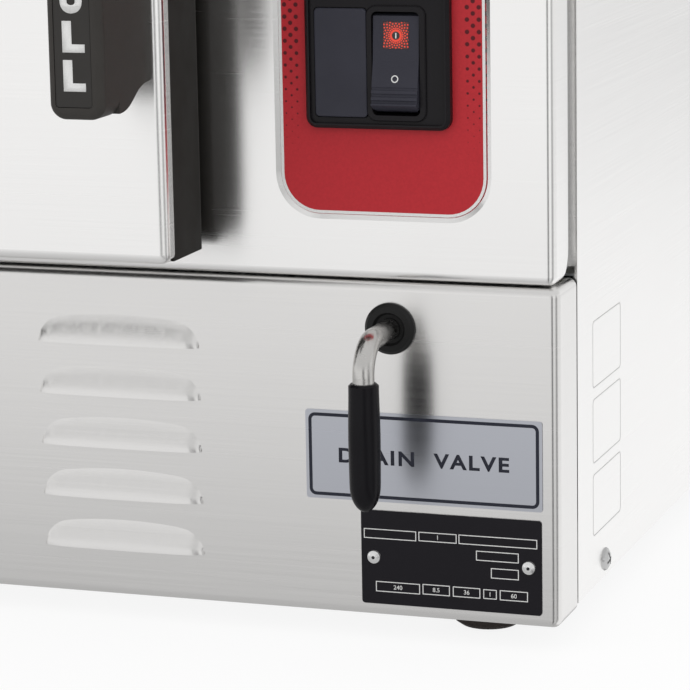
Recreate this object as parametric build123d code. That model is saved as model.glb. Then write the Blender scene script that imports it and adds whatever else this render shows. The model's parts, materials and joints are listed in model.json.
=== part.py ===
from build123d import *
import os
from math import cos, radians, sin

os.makedirs("parts", exist_ok=True)

# Countertop convection steamer for three full-size pans.
# Millimetres, +Z up, front toward -Y. The origin is on the counter, under the middle of the whole machine.

# Driving dimensions of the case
WIDTH = 610.0
HEIGHT = 498.0
RACK_LENGTH = 500.0
HANDLE_REACH = 100.0
OUTLET_REACH = 20.0
FOOT_HEIGHT = 12.7
LOWER_HEIGHT = 152.4
SHEET = 1.2
CASE_BEND = 4.0
LOWER_RETURN = 30.0
LOWER_SHELF = 20.0
FRAME_RETURN = 22.0
FRAME_INSET = 1.5
FRAME_CORNER = 14.0
SEAM_GAP = 0.8
SIDE_GAP = 1.5
SIDE_LIFT = 3.5
SIDE_FLANGE = 12.0
TONGUE = 25.0
TOP_DROP = 16.0
TRAY_WALL = 40.0
BACK_FLANGE = 14.0
RUNNING_GAP = 0.3
SEAT_GAP = 0.1
RACK_FRONT = 35.0
RACK_REAR = 43.0
MOTOR_SPACE = 140.0

CAVITY_DEPTH = RACK_FRONT + RACK_LENGTH + RACK_REAR
BODY_DEPTH = CAVITY_DEPTH + MOTOR_SPACE
FRONT = HANDLE_REACH - (HANDLE_REACH + BODY_DEPTH + OUTLET_REACH) / 2
BACK = FRONT + BODY_DEPTH
RIGHT = WIDTH / 2
BASE = FOOT_HEIGHT
SEAM = FOOT_HEIGHT + LOWER_HEIGHT
TOP = HEIGHT
SIDE_FRONT = FRONT + LOWER_RETURN + SIDE_GAP
SIDE_TOP = TOP - TOP_DROP - SEAM_GAP
TRAY_FLOOR = BASE + SHEET
DECK = SEAM + SHEET

# Pressed louvres of the lower panel
LOUVRE_COUNT = 5
LOUVRE_PITCH = 24.0
LOUVRE_LENGTH = 79.0
LOUVRE_RISE = 13.5
LOUVRE_DEPTH = 4.0
LOUVRE_END = 14.0
LOUVRE_FIRST_Z = BASE + 22.5
LOUVRE_X = RIGHT - 206.7
LOUVRE_BITE = 0.15
LOUVRE_ANGLES = (0, 28, 52, 70, 82, 87)

# Door and cooking cavity
DOOR_RIGHT = RIGHT - 161.0
DOOR_LEFT = -RIGHT + 15.0
DOOR_BOTTOM = BASE + 164.8
DOOR_TOP = TOP - 13.0
DOOR_THICK = 50.0
DOOR_GAP = 3.0
DOOR_SKIN_RETURN = 9.0
DOOR_SHEET = 1.0
DOOR_BEND = 4.5
DOOR_OVERLAP = 35.0
DOOR_BACK_RADIUS = 6.0
GASKET_INSET = 17.0
GASKET_WIDTH = 15.0
LINER_SEAT = 9.0
LINER_MARGIN = 38.0

OPEN_LEFT = DOOR_LEFT + DOOR_OVERLAP
OPEN_RIGHT = DOOR_RIGHT - DOOR_OVERLAP
OPEN_BOTTOM = DOOR_BOTTOM + DOOR_OVERLAP
OPEN_TOP = DOOR_TOP - DOOR_OVERLAP
OPEN_MID_X = (OPEN_LEFT + OPEN_RIGHT) / 2
OPEN_MID_Z = (OPEN_BOTTOM + OPEN_TOP) / 2
DOOR_FACE = FRONT - DOOR_THICK
DOOR_REAR = FRONT - DOOR_GAP
DOOR_MID_Z = (DOOR_BOTTOM + DOOR_TOP) / 2

LINER_SHEET = 1.5
LINER_CORNER = 14.0
LINER_FLANGE = 14.0
SUMP_DROP = 16.0
SUMP_MARGIN_X = 40.0
SUMP_FRONT = 60.0
SUMP_LENGTH = 400.0
SUMP_CORNER = 25.0
INSULATION = 25.0
HEATER_SPACE = 9.0

# Hinges
HINGE_OFFSET = 7.0
HINGE_SETBACK = 9.0
HINGE_RADIUS = 5.0
HINGE_PIN_RADIUS = 3.0
HINGE_PIN_PLAY = 0.05
HINGE_PLAY = 0.2
HINGE_KNUCKLE = 22.0
HINGE_INSET = 45.0
HINGE_LEAF = 1.6
HINGE_LEAF_WIDTH = 19.0

# Door handle
HANDLE_WIDTH = 25.0
HANDLE_CENTRE = DOOR_RIGHT - 18.4
HANDLE_LENGTH = 169.0
HANDLE_COVER_DEPTH = 17.0
HANDLE_WEB_WIDTH = 13.0
HANDLE_CUT = 11.0
HANDLE_RADIUS = 3.5
INSET_WIDTH = 16.2
INSET_SHIFT = 0.8
INSET_MARGIN = 5.5
INSET_DEPTH = 1.6
INSET_PLAY = 0.25

# Control panel
OVERLAY_LEFT = RIGHT - 128.5
OVERLAY_RIGHT = RIGHT - 29.6
OVERLAY_BOTTOM = BASE + 179.6
OVERLAY_TOP = TOP - 14.0
OVERLAY_CORNER = 20.0
OVERLAY_THICK = 0.5
RECESS = 1.1
RECESS_WALL = 2.4
SWITCH_LEFT = RIGHT - 112.7
SWITCH_WIDTH = 65.8
SWITCH_BOTTOM = BASE + 220.3
SWITCH_HEIGHT = 62.0
SWITCH_PROUD = 5.0
SWITCH_RIM = 3.2
SWITCH_COLLAR = 11.0
SWITCH_CORNER = 5.0
SWITCH_STEP = 2.2
SWITCH_TRAY = 1.6
BEZEL_WIDTH = 2.6
BEZEL_CORNER = 4.5
ROCKER_CORNER = 2.5
ROCKER_WIDTH = 20.8
ROCKER_HEIGHT = 44.0
ROCKER_X = RIGHT - 71.0
ROCKER_TILT = 8.0
ROCKER_PLAY = 0.5
PLUG_WIDTH = 24.0
PLUG_HEIGHT = 47.4
PLUG_X = RIGHT - 96.3
PLUG_CORNER = 2.0
LENS_SIZE = 11.4
LENS_RISE = 11.0
LENS_DEPTH = 8.0
LENS_THICK = 1.4
GRIP_GROOVES = 3
SWITCH_DEPTH = 24.0
TERMINAL = 9.0
TIMER_RISE = 70.0
TIMER_KNOB_RADIUS = 20.0
TIMER_KNOB_LENGTH = 19.0
TIMER_SIZE = 48.0
TIMER_DEPTH = 42.0
TIMER_SHAFT = 20.0
KNOB_SOCKET = 12.0
KNOB_GAP = 1.0
SHAFT_RADIUS = 3.175
SHAFT_PLAY = 0.05
LAMP_RADIUS = 6.0
LAMP_STEM = 4.5
LAMP_DEPTH = 16.0
LAMP_SPACING = 34.0
LAMP_RISE = 35.0

# Drain lever and valve
LEVER_X = RIGHT - 76.5
LEVER_Z = BASE + 131.8
ROD_RADIUS = 4.75
LEVER_BEND = 14.0
LEVER_REACH = 38.0
GRIP_RADIUS = 7.0
GRIP_TOP = BASE + 115.0
GRIP_LENGTH = 57.0
GRIP_END = 9.0
GROMMET_RADIUS = 11.5
GROMMET_NECK = 8.3
GROMMET_DEPTH = 5.0
VALVE_START = 66.0
VALVE_LENGTH = 72.0
VALVE_RADIUS = 17.0
VALVE_BORE = 13.5
VALVE_SEAT = 10.0
VALVE_LAND = 5.0
VALVE_TAIL = 12.0
VALVE_SOCKET = 2.5
VALVE_INLET = 12.0
PIPE_RADIUS = 11.0
PIPE_WALL = 1.5
OUTLET_RADIUS = 13.35
OUTLET_WALL = 2.9
OUTLET_Z = 72.0
OUTLET_BEND = 34.0
OUTLET_DROP = 160.0
FEED_BEND = 16.0
DRAIN_INSET = 30.0
DRAIN_Y = 100.0

# Plates, feet and screws
LABEL_LEFT = RIGHT - 117.0
LABEL_RIGHT = RIGHT - 7.5
LABEL_BOTTOM = BASE + 52.9
LABEL_TOP = BASE + 93.5
PLATE_LEFT = RIGHT - 91.6
PLATE_RIGHT = RIGHT - 8.0
PLATE_BOTTOM = BASE + 5.8
PLATE_TOP = BASE + 48.9
PLATE_THICK = 0.5
RIVET_INSET = 5.9
RIVET_RADIUS = 3.2
FOOT_RADIUS = 18.0
FOOT_INSET = 46.0
FOOT_LAND = 6.0
SCREW_HEAD = 5.5
SCREW_RADIUS = 2.0
SIDE_SCREW_Y = 80.0
SIDE_SCREW_Z = BASE + 11.4

# Fan at the rear of the cavity
FAN_RADIUS = 75.0
FAN_DEPTH = 24.0
FAN_BLADES = 8
GUARD_DEPTH = 37.0
GUARD_SLOT = 7.0
GUARD_SLOTS = 9
GUARD_GAPS = 4
FAN_HUB = 13.0
FAN_RING = 14.0
FAN_SHEET = 1.5
MOTOR_RADIUS = 42.0
MOTOR_LENGTH = 66.0
MOTOR_SHAFT = 4.0
MOTOR_MARGIN = 14.0
FIN_PITCH = 10.0
FIN_HEIGHT = 2.5
FIN_THICK = 3.0

# Wire racks
WIRE = 3.0
RACK_STANDOFF = 7.0
RACK_LEVELS = 3
RACK_REACH = 17.0
RACK_BEND = 10.0


# Places that follow from the sizes above
HINGE_X = DOOR_LEFT - HINGE_OFFSET
HINGE_Y = FRONT - HINGE_SETBACK
TIMER_X = (OVERLAY_LEFT + OVERLAY_RIGHT) / 2
TIMER_HOLE = 5.0
LAMP_Z = SWITCH_BOTTOM + SWITCH_HEIGHT + LAMP_RISE
TIMER_Z = LAMP_Z + TIMER_RISE
LAMP_PLACES = (TIMER_X - LAMP_SPACING / 2, TIMER_X + LAMP_SPACING / 2)
ROCKER_Z = SWITCH_BOTTOM + SWITCH_HEIGHT / 2 - 2.3
CONTROL_SEAT = FRONT + RECESS
OVERLAY_FACE = CONTROL_SEAT - OVERLAY_THICK
PIVOT_Y = OVERLAY_FACE + 4.5
PIVOT_RADIUS = 1.5
PIVOT_REACH = 1.9
ROCKER_FACE = 9.0
ROCKER_WING = 1.7
RIVET_PLACES = (PLATE_LEFT + RIVET_INSET, PLATE_RIGHT - RIVET_INSET)
RIVET_Z = (PLATE_BOTTOM + PLATE_TOP) / 2
DRAIN_X = OPEN_RIGHT - SUMP_MARGIN_X - DRAIN_INSET
HEATER_RADIUS = 4.0
HEATER_ROWS = 6
HEATER_PITCH = 50.0
HEATER_INSET = 30.0
HEATER_TAIL = 20.0
HEATER_START = FRONT + SUMP_FRONT + 100.0
HEATER_FLOOR = OPEN_BOTTOM - SUMP_DROP - LINER_SHEET - HEATER_SPACE
SPOUT_END = HEATER_FLOOR
STRAINER_RADIUS = 16.0
STRAINER_HOLE = 2.2
STUD_RADIUS = 4.0
GUARD_WIDTH = OPEN_RIGHT - OPEN_LEFT - 64.0
GUARD_HEIGHT = OPEN_TOP - OPEN_BOTTOM - 27.5
RACK_FIRST = OPEN_BOTTOM + 72.5
RACK_PITCH = (OPEN_TOP - OPEN_BOTTOM - 103.5) / (RACK_LEVELS - 1)
RACK_LOW = RACK_FIRST - 43.5
RACK_HIGH = RACK_FIRST + (RACK_LEVELS - 1) * RACK_PITCH + 15.0
STUD_PLACES = (FRONT + RACK_FRONT + 60.0, FRONT + RACK_FRONT + RACK_LENGTH - 60.0)
STUD_HEAD = 6.5
STUD_HEAD_THICK = 2.0
STUD_NECK = RACK_STANDOFF + 5.0
FAN_CLEARANCE = 6.0
MOTOR_LEG = 4.0
MOTOR_BEARING = 30.0
MOTOR_PLATE = 4.0
MOTOR_PLATE_Y = FRONT + CAVITY_DEPTH + LINER_SHEET + INSULATION + 8.0
MOTOR_FINS = 4
GLAND_NECK = 8.0
PLUNGER_FRONT = FRONT + VALVE_START + VALVE_LENGTH - 19.0
FILL_X = RIGHT - 133.0
FILL_Y = BACK - 70.0
FILL_RADIUS = 13.2
FILL_REACH = 15.0
FILL_SHOULDER = 15.0
FILL_TUBE = 5.0
FILL_BEND = 30.0
FILL_BODY = 34.0
FILL_WIDE = 32.0
FILL_TALL = 28.0
COIL_RADIUS = 14.0
COIL_TOP = 37.0
FILL_PORT_Y = FRONT + 440.0
FILL_PORT_Z = OPEN_BOTTOM + 87.5
OUTLET_COLLAR = 3.0
CONDUIT_X = RIGHT - 50.0
CONDUIT_Z = SEAM + 74.9
CONDUIT_RADIUS = 14.2
VENT_LENGTH = 60.0
VENT_WIDTH = 6.0
VENT_ROWS = 8
VENT_PITCH = 16.0
VENT_FIRST_Z = TOP - 178.0
VENT_PLACES = [WIDTH * share for share in (-0.3, -0.15, 0, 0.15, 0.3)]
CONTACTOR_X = RIGHT - 80.0
CONTACTOR_Y = FRONT + 110.0
CONTACTOR_WIDTH = 56.0
CONTACTOR_DEPTH = 76.0
CONTACTOR_HEIGHT = 52.0
CONTACTOR_RISE = 16.0
LATCH_X = DOOR_RIGHT - 8.0
LATCH_WIDTH = 11.0
LATCH_HEIGHT = 36.0
LATCH_DEPTH = 26.0
LATCH_WALL = 1.5
STRIKER_REACH = 19.0
STRIKER_RADIUS = 3.5
ROLLER_RADIUS = 3.5


def block(x, y, z):
    """Box between a low and a high limit on each axis."""
    size = [high - low for low, high in (x, y, z)]
    middle = [(high + low) / 2 for low, high in (x, y, z)]
    return Pos(*middle) * Box(*size)


def side_face(body, side):
    """The outermost face on the named side."""
    axis = {"left": Axis.X, "front": Axis.Y, "bottom": Axis.Z}
    opposite = {"right": Axis.X, "back": Axis.Y, "top": Axis.Z}
    if side in axis:
        return body.faces().sort_by(axis[side])[0]
    return body.faces().sort_by(opposite[side])[-1]


def bent_block(x, y, z, radius, open_sides):
    """Box whose edges are rounded, apart from those round the sides that stay open."""
    body = block(x, y, z)
    bends = body.edges()
    for side in open_sides:
        bends = bends - side_face(body, side).edges()
    return fillet(bends, radius)


def folded_pan(x, y, z, bend, sheet, open_sides):
    """Sheet folded up into a shallow box with round bends, open on the sides named."""
    low = {"left": 0, "front": 1, "bottom": 2}
    high = {"right": 0, "back": 1, "top": 2}
    inside = [[start + sheet, end - sheet] for start, end in (x, y, z)]
    for side in open_sides:
        if side in low:
            inside[low[side]][0] -= 2 * sheet
        else:
            inside[high[side]][1] += 2 * sheet
    outer = bent_block(x, y, z, bend, open_sides)
    return outer - bent_block(*inside, bend - sheet, open_sides)


def front_plane(x, y, z):
    """Plane that faces the viewer, with its own x to the right and y up."""
    return Plane(origin=(x, y, z), x_dir=(1, 0, 0), z_dir=(0, -1, 0))


def front_plate(x, z, back, thick, corner):
    """Upright plate with round corners, its back face at the given depth."""
    outline = RectangleRounded(x[1] - x[0], z[1] - z[0], corner)
    return extrude(front_plane(sum(x) / 2, back, sum(z) / 2) * outline, amount=thick)


def round_hole(x, z, radius, y):
    """Cutter for a round hole along Y."""
    return extrude(front_plane(x, y[1], z) * Circle(radius), amount=y[1] - y[0])


def rod_along(axis, radius, start, length):
    """Round bar from a start point along +X, +Y or +Z."""
    direction = {"X": (1, 0, 0), "Y": (0, 1, 0), "Z": (0, 0, 1)}[axis]
    return extrude(Plane(origin=start, z_dir=direction) * Circle(radius), amount=length)


def turned(profile, x, y, z):
    """Profile of (radius, distance toward the viewer) points, turned about a line along Y."""
    outline = make_face(Polyline(*profile, close=True))
    body = revolve(Plane.XZ * outline, Axis.Z)
    return Pos(x, y, z) * Rot(90, 0, 0) * body


def bent_tube(points, bend, radius, wall=0.0):
    """Tube or bar along straight runs joined by tangent arcs."""
    path = FilletPolyline(*points, radius=bend)
    start = Plane(origin=path @ 0, z_dir=path % 0)
    section = Circle(radius) - Circle(radius - wall) if wall else Circle(radius)
    return sweep(start * section, path=path)


def save(name, *shapes):
    """Write one node, as one solid or as a group of separate solids."""
    solids = [solid for shape in shapes for solid in shape.solids()]
    export_step(solids[0] if len(solids) == 1 else Compound(children=solids), f"parts/{name}.step")


def both_sides(shape):
    return [shape, mirror(shape, about=Plane.YZ)]


# Case
def louvre_section(x, shrink, sheet_shift):
    """Upright section of the hood at one place: a press curve from the panel out to the sheared lip."""
    rise, depth = LOUVRE_RISE * shrink, LOUVRE_DEPTH * shrink
    root = FRONT + sheet_shift + LOUVRE_BITE
    rear = root + SHEET / 2
    lip = root - LOUVRE_BITE - depth
    ease = depth / 10
    top, foot, heel, crown = (x, root, rise), (x, lip, 0), (x, rear, 0), (x, rear, rise)
    curve = Bezier(top, (x, root - ease, 0.55 * rise), (x, lip + ease, 0.45 * rise), foot)
    return make_face(Wire([curve, Line(foot, heel), Line(heel, crown), Line(crown, top)]))


def louvre_form(sheet_shift):
    """Solid of the hood, full in the middle and drawn in like an ellipse at both ends."""
    straight = LOUVRE_LENGTH / 2 - LOUVRE_END
    stations = [(straight + LOUVRE_END * sin(radians(a)), cos(radians(a))) for a in LOUVRE_ANGLES]
    sections = [louvre_section(-x, shrink, sheet_shift) for x, shrink in reversed(stations)]
    sections += [louvre_section(x, shrink, sheet_shift) for x, shrink in stations]
    return loft(sections)


def lower_front_panel():
    width = (-RIGHT, RIGHT)
    panel = folded_pan(width, (FRONT, FRONT + LOWER_RETURN), (BASE, SEAM), CASE_BEND, SHEET, ["back"])
    inner = (-RIGHT + 2 * SHEET, RIGHT - 2 * SHEET)
    panel -= block(inner, (FRONT + LOWER_SHELF, BACK), (BASE - SHEET, BASE + 2 * SHEET))
    hood = louvre_form(0)
    void = louvre_form(SHEET)
    places = [
        Pos(side * LOUVRE_X, 0, LOUVRE_FIRST_Z + row * LOUVRE_PITCH)
        for side in (-1, 1)
        for row in range(LOUVRE_COUNT)
    ]
    panel += [place * hood for place in places]
    panel -= [place * void for place in places]
    return panel - round_hole(LEVER_X, LEVER_Z, GROMMET_NECK + 0.2, (FRONT - SHEET, FRONT + 2 * SHEET))


def switch_cutout(through):
    """Cutter for the collar of the two-gang switch frame."""
    collar = SWITCH_RIM - RUNNING_GAP
    sides = (SWITCH_LEFT + collar, SWITCH_LEFT + SWITCH_WIDTH - collar)
    ends = (SWITCH_BOTTOM + collar, SWITCH_BOTTOM + SWITCH_HEIGHT - collar)
    return block(sides, through, ends)


def panel_holes(through):
    """Cutters for everything that passes through the control panel and its overlay."""
    holes = [switch_cutout(through), round_hole(TIMER_X, TIMER_Z, TIMER_HOLE, through)]
    holes += [round_hole(x, LAMP_Z, LAMP_STEM + RUNNING_GAP, through) for x in LAMP_PLACES]
    return holes


def control_pocket(grow, shift):
    """Shallow pocket with sloped walls that the overlay lies in, grown all round and moved back."""
    outlines = []
    for y, inset in ((FRONT - RECESS, -RECESS_WALL), (CONTROL_SEAT, RECESS_WALL)):
        wide = OVERLAY_RIGHT - OVERLAY_LEFT - 2 * inset + 2 * grow
        tall = OVERLAY_TOP - OVERLAY_BOTTOM - 2 * inset + 2 * grow
        middle = (OVERLAY_BOTTOM + OVERLAY_TOP) / 2
        outline = RectangleRounded(wide, tall, OVERLAY_CORNER - inset + grow)
        outlines.append(front_plane(TIMER_X, y + shift, middle) * outline)
    return loft(outlines)


def front_frame():
    half = RIGHT - FRAME_INSET
    foot = SEAM + SEAM_GAP
    rear = FRONT + FRAME_RETURN
    frame = folded_pan((-half, half), (FRONT, rear), (foot, TOP), CASE_BEND, SHEET, ["back"])
    through = (FRONT - SHEET, CONTROL_SEAT + 2 * SHEET)
    sides, ends = (OPEN_LEFT, OPEN_RIGHT), (OPEN_BOTTOM, OPEN_TOP)
    opening = front_plate(sides, ends, through[1], through[1] - through[0], LINER_CORNER)
    turn = (rear - FRAME_CORNER, foot + FRAME_CORNER)
    round_end = rod_along("X", FRAME_CORNER, (-RIGHT, *turn), WIDTH)
    square_end = block((-RIGHT, RIGHT), (turn[0], rear + SHEET), (foot - SHEET, turn[1]))
    between = half - CASE_BEND - RUNNING_GAP
    returns = square_end - round_end - block((-between, between), (FRONT, BACK), (BASE, TOP))
    boss = control_pocket(SHEET / 2, SHEET) & block((-RIGHT, RIGHT), (FRONT, BACK), (BASE, TOP))
    frame = frame - [opening, returns] + boss - control_pocket(0, 0)
    return frame - panel_holes(through)


def side_panel():
    """Right-hand side, with a shelf under the top panel and a joggled tongue inside the front frame."""
    inner = RIGHT - SHEET
    wall = block((inner, RIGHT), (SIDE_FRONT, BACK), (BASE + SIDE_LIFT, SIDE_TOP))
    shelf = (SIDE_TOP - SHEET, SIDE_TOP)
    panel = wall + block((RIGHT - SIDE_FLANGE, RIGHT), (SIDE_FRONT, BACK - BACK_FLANGE), shelf)
    tongue = RIGHT - FRAME_INSET - SHEET - RUNNING_GAP
    tall = (DECK + SIDE_LIFT, SIDE_TOP)
    rear = SIDE_FRONT + SHEET
    panel += block((tongue - SHEET, RIGHT), (SIDE_FRONT, rear), tall)
    panel += block((tongue - SHEET, tongue), (SIDE_FRONT - TONGUE, rear), tall)
    corner = panel.edges().filter_by(Axis.Y).group_by(Axis.Z)[-1].sort_by(Axis.X)[-1]
    return fillet(corner, SHEET * 1.5) - side_screw_holes(SHEET)


def top_panel():
    depth = (FRONT + FRAME_RETURN + SIDE_GAP, BACK)
    return folded_pan((-RIGHT, RIGHT), depth, (TOP - TOP_DROP, TOP), CASE_BEND - 1, SHEET, ["bottom"])


def back_panel():
    half = RIGHT - SHEET
    wide = (-half, half)
    panel = folded_pan(wide, (BACK - BACK_FLANGE, BACK), (TRAY_FLOOR, SIDE_TOP), 2 * SHEET, SHEET, ["front"])
    through = (BACK - 2 * SHEET, BACK + SHEET)
    panel -= round_hole(LEVER_X, OUTLET_Z, OUTLET_RADIUS + RUNNING_GAP, through)
    panel -= round_hole(FILL_X, OUTLET_Z, FILL_SHOULDER + RUNNING_GAP, through)
    panel -= round_hole(CONDUIT_X, CONDUIT_Z, CONDUIT_RADIUS, through)
    outline = front_plane(0, through[1], 0) * SlotOverall(VENT_LENGTH, VENT_WIDTH)
    slot = extrude(outline, amount=through[1] - through[0])
    rows = range(VENT_ROWS)
    panel -= [Pos(x, 0, VENT_FIRST_Z + row * VENT_PITCH) * slot for x in VENT_PLACES for row in rows]
    return panel


def base_tray():
    half = RIGHT - SHEET
    depth = (FRONT + SHEET, BACK - BACK_FLANGE - RUNNING_GAP)
    height = (TRAY_FLOOR, TRAY_FLOOR + TRAY_WALL)
    tray = folded_pan((-half, half), depth, height, CASE_BEND - SHEET + RUNNING_GAP, SHEET, ["top"])
    for hole in side_screw_holes(2 * SHEET):
        tray -= both_sides(hole)
    hole = Cylinder(SCREW_RADIUS + RUNNING_GAP, 4 * SHEET)
    return tray - [Pos(x, y, TRAY_FLOOR) * hole for x, y in foot_places()]


def deck_plate():
    """Sheet that parts the lower compartment from the cavity and the controls."""
    half = RIGHT - SHEET
    rear = BACK - BACK_FLANGE - RUNNING_GAP
    deck = block((-half, half), (SIDE_FRONT + SHEET + RUNNING_GAP, rear), (SEAM, DECK))
    nose = half - SIDE_FLANGE
    deck += block((-nose, nose), (FRONT + FRAME_RETURN + RUNNING_GAP, rear), (SEAM, DECK))
    drop = (SEAM - TOP_DROP, DECK)
    sides = block((half - SHEET, half), (SIDE_FRONT + SHEET + RUNNING_GAP, rear), drop)
    deck += both_sides(sides)
    deck -= Pos(DRAIN_X, FRONT + DRAIN_Y, SEAM) * Cylinder(PIPE_RADIUS + 1, 4 * SHEET)
    return deck - Pos(FILL_X, FILL_Y, SEAM) * Cylinder(FILL_TUBE + 1, 4 * SHEET)


# Cavity
def whole_cavity():
    """Box with round corners, a sump and a flange at its mouth, before its panels are parted."""
    wall = LINER_SHEET
    mouth = FRONT + SHEET
    rear = FRONT + CAVITY_DEPTH
    wide = (OPEN_LEFT, OPEN_RIGHT)
    tall = (OPEN_BOTTOM, OPEN_TOP)
    outer_x = (OPEN_LEFT - wall, OPEN_RIGHT + wall)
    outer_z = (OPEN_BOTTOM - wall, OPEN_TOP + wall)
    body = bent_block(outer_x, (mouth, rear + wall), outer_z, LINER_CORNER + wall, ["front"])
    body += front_plate(
        (OPEN_LEFT - LINER_FLANGE, OPEN_RIGHT + LINER_FLANGE),
        (OPEN_BOTTOM - LINER_FLANGE, OPEN_TOP + LINER_FLANGE),
        mouth + wall, wall, LINER_CORNER + LINER_FLANGE,
    )
    sump_x = (OPEN_LEFT + SUMP_MARGIN_X, OPEN_RIGHT - SUMP_MARGIN_X)
    sump_y = (FRONT + SUMP_FRONT, FRONT + SUMP_FRONT + SUMP_LENGTH)
    floor = OPEN_BOTTOM - SUMP_DROP
    drain = (DRAIN_X, FRONT + DRAIN_Y, SPOUT_END)
    body += sump_block(sump_x, sump_y, floor - wall, OPEN_BOTTOM, SUMP_CORNER + wall, wall)
    body += rod_along("Z", PIPE_RADIUS, drain, floor - SPOUT_END)
    body -= bent_block(wide, (mouth - wall, rear), tall, LINER_CORNER, ["front"])
    body -= sump_block(sump_x, sump_y, floor, OPEN_BOTTOM + LINER_CORNER, SUMP_CORNER, 0)
    body -= rod_along("Z", PIPE_RADIUS - PIPE_WALL, drain, floor - SPOUT_END)
    body -= rod_along("Y", MOTOR_SHAFT + 1, (OPEN_MID_X, rear - wall, OPEN_MID_Z), 3 * wall)
    port = (OPEN_RIGHT - wall, FILL_PORT_Y, FILL_PORT_Z)
    return body - rod_along("X", FILL_TUBE + RUNNING_GAP, port, 3 * wall)


def flat_limits(tall):
    """Space round the flat floor or roof, each a panel with its lip at the mouth, between the round corners."""
    wide = (OPEN_LEFT + LINER_CORNER, OPEN_RIGHT - LINER_CORNER)
    deep = (FRONT + SHEET, FRONT + CAVITY_DEPTH - LINER_CORNER)
    return block(wide, deep, tall)


def sump_block(x, y, bottom, top, corner, grow):
    """Upright block with round corners, the form of the sump."""
    outline = RectangleRounded(x[1] - x[0] + 2 * grow, y[1] - y[0] + 2 * grow, corner)
    return extrude(Pos(sum(x) / 2, sum(y) / 2, bottom) * outline, amount=top - bottom)


def insulation_wrap():
    """Blanket round the cavity, open at the front and cut out for the pipes and the fan shaft."""
    gap = RUNNING_GAP
    inner_x = (OPEN_LEFT - LINER_SHEET - gap, OPEN_RIGHT + LINER_SHEET + gap)
    rear = FRONT + CAVITY_DEPTH + LINER_SHEET + gap
    start = FRONT + SHEET + LINER_SHEET + gap
    inner_z = (HEATER_FLOOR, OPEN_TOP + LINER_SHEET + gap)
    outer_x = (inner_x[0] - INSULATION, inner_x[1] + INSULATION)
    wrap = block(outer_x, (FRONT + FRAME_RETURN + gap, rear + INSULATION), (DECK, inner_z[1] + INSULATION))
    wrap -= block(inner_x, (start, rear), inner_z)
    wrap -= rod_along("Z", PIPE_RADIUS + 1, (DRAIN_X, FRONT + DRAIN_Y, DECK - 1), HEATER_FLOOR - DECK + 2)
    wrap -= rod_along("X", FILL_TUBE + gap, (inner_x[1] - 1, FILL_PORT_Y, FILL_PORT_Z), INSULATION + 2)
    wrap -= rod_along("Y", MOTOR_SHAFT + 4, (OPEN_MID_X, rear - 1, OPEN_MID_Z), INSULATION + 2)
    return wrap - [rod_along("Y", MOTOR_LEG + gap, (x, rear - 1, z), INSULATION + 2) for x, z in motor_legs()]


def sump_heater():
    """Tubular element looped under the sump, with its two cold ends toward the control side."""
    z = HEATER_FLOOR + HEATER_RADIUS
    near = OPEN_LEFT + SUMP_MARGIN_X + HEATER_INSET
    far = OPEN_RIGHT - SUMP_MARGIN_X - HEATER_TAIL
    rows = [HEATER_START + row * HEATER_PITCH for row in range(HEATER_ROWS)]
    points = [(far + HEATER_INSET, rows[0], z)]
    for index, y in enumerate(rows):
        turn = near if index % 2 == 0 else far
        points.append((turn, y, z))
        if index < HEATER_ROWS - 1:
            points.append((turn, rows[index + 1], z))
    points[-1] = (far + HEATER_INSET, rows[-1], z)
    return bent_tube(points, HEATER_PITCH * 0.45, HEATER_RADIUS)


def drain_strainer():
    disc = Cylinder(STRAINER_RADIUS, LINER_SHEET)
    hole = Cylinder(STRAINER_HOLE, 3 * LINER_SHEET)
    disc -= PolarLocations(STRAINER_RADIUS * 0.6, 8) * hole
    return Pos(DRAIN_X, FRONT + DRAIN_Y, OPEN_BOTTOM - SUMP_DROP + LINER_SHEET / 2) * (disc - hole)


def pan_rack():
    """Right-hand wire rack: a closed frame of round wire with one inward rail for each pan."""
    x = OPEN_RIGHT - RACK_STANDOFF
    front = FRONT + RACK_FRONT
    rear = front + RACK_LENGTH
    corners = [(x, front, RACK_LOW), (x, rear, RACK_LOW), (x, rear, RACK_HIGH), (x, front, RACK_HIGH)]
    outline = Wire(FilletPolyline(*corners, radius=RACK_BEND, close=True))
    start = Plane(origin=outline @ 0, z_dir=outline % 0)
    frame = sweep(start * Circle(WIRE), path=outline)
    for level in range(RACK_LEVELS):
        z = RACK_FIRST + level * RACK_PITCH
        reach = x - RACK_REACH
        rail = [(x, front, z), (reach, front, z), (reach, rear, z), (x, rear, z)]
        frame += bent_tube(rail, RACK_BEND - 1, WIRE)
    return frame


def rack_studs():
    """Headed studs of the right-hand wall that the rack hangs on."""
    studs = []
    for y in STUD_PLACES:
        for wire_z in (RACK_LOW, RACK_HIGH):
            z = wire_z - WIRE - SEAT_GAP - STUD_RADIUS
            neck = rod_along("X", STUD_RADIUS, (OPEN_RIGHT - STUD_NECK, y, z), STUD_NECK)
            start = OPEN_RIGHT - STUD_NECK - STUD_HEAD_THICK
            studs.append(neck + rod_along("X", STUD_HEAD, (start, y, z), STUD_HEAD_THICK))
    return studs


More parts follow.
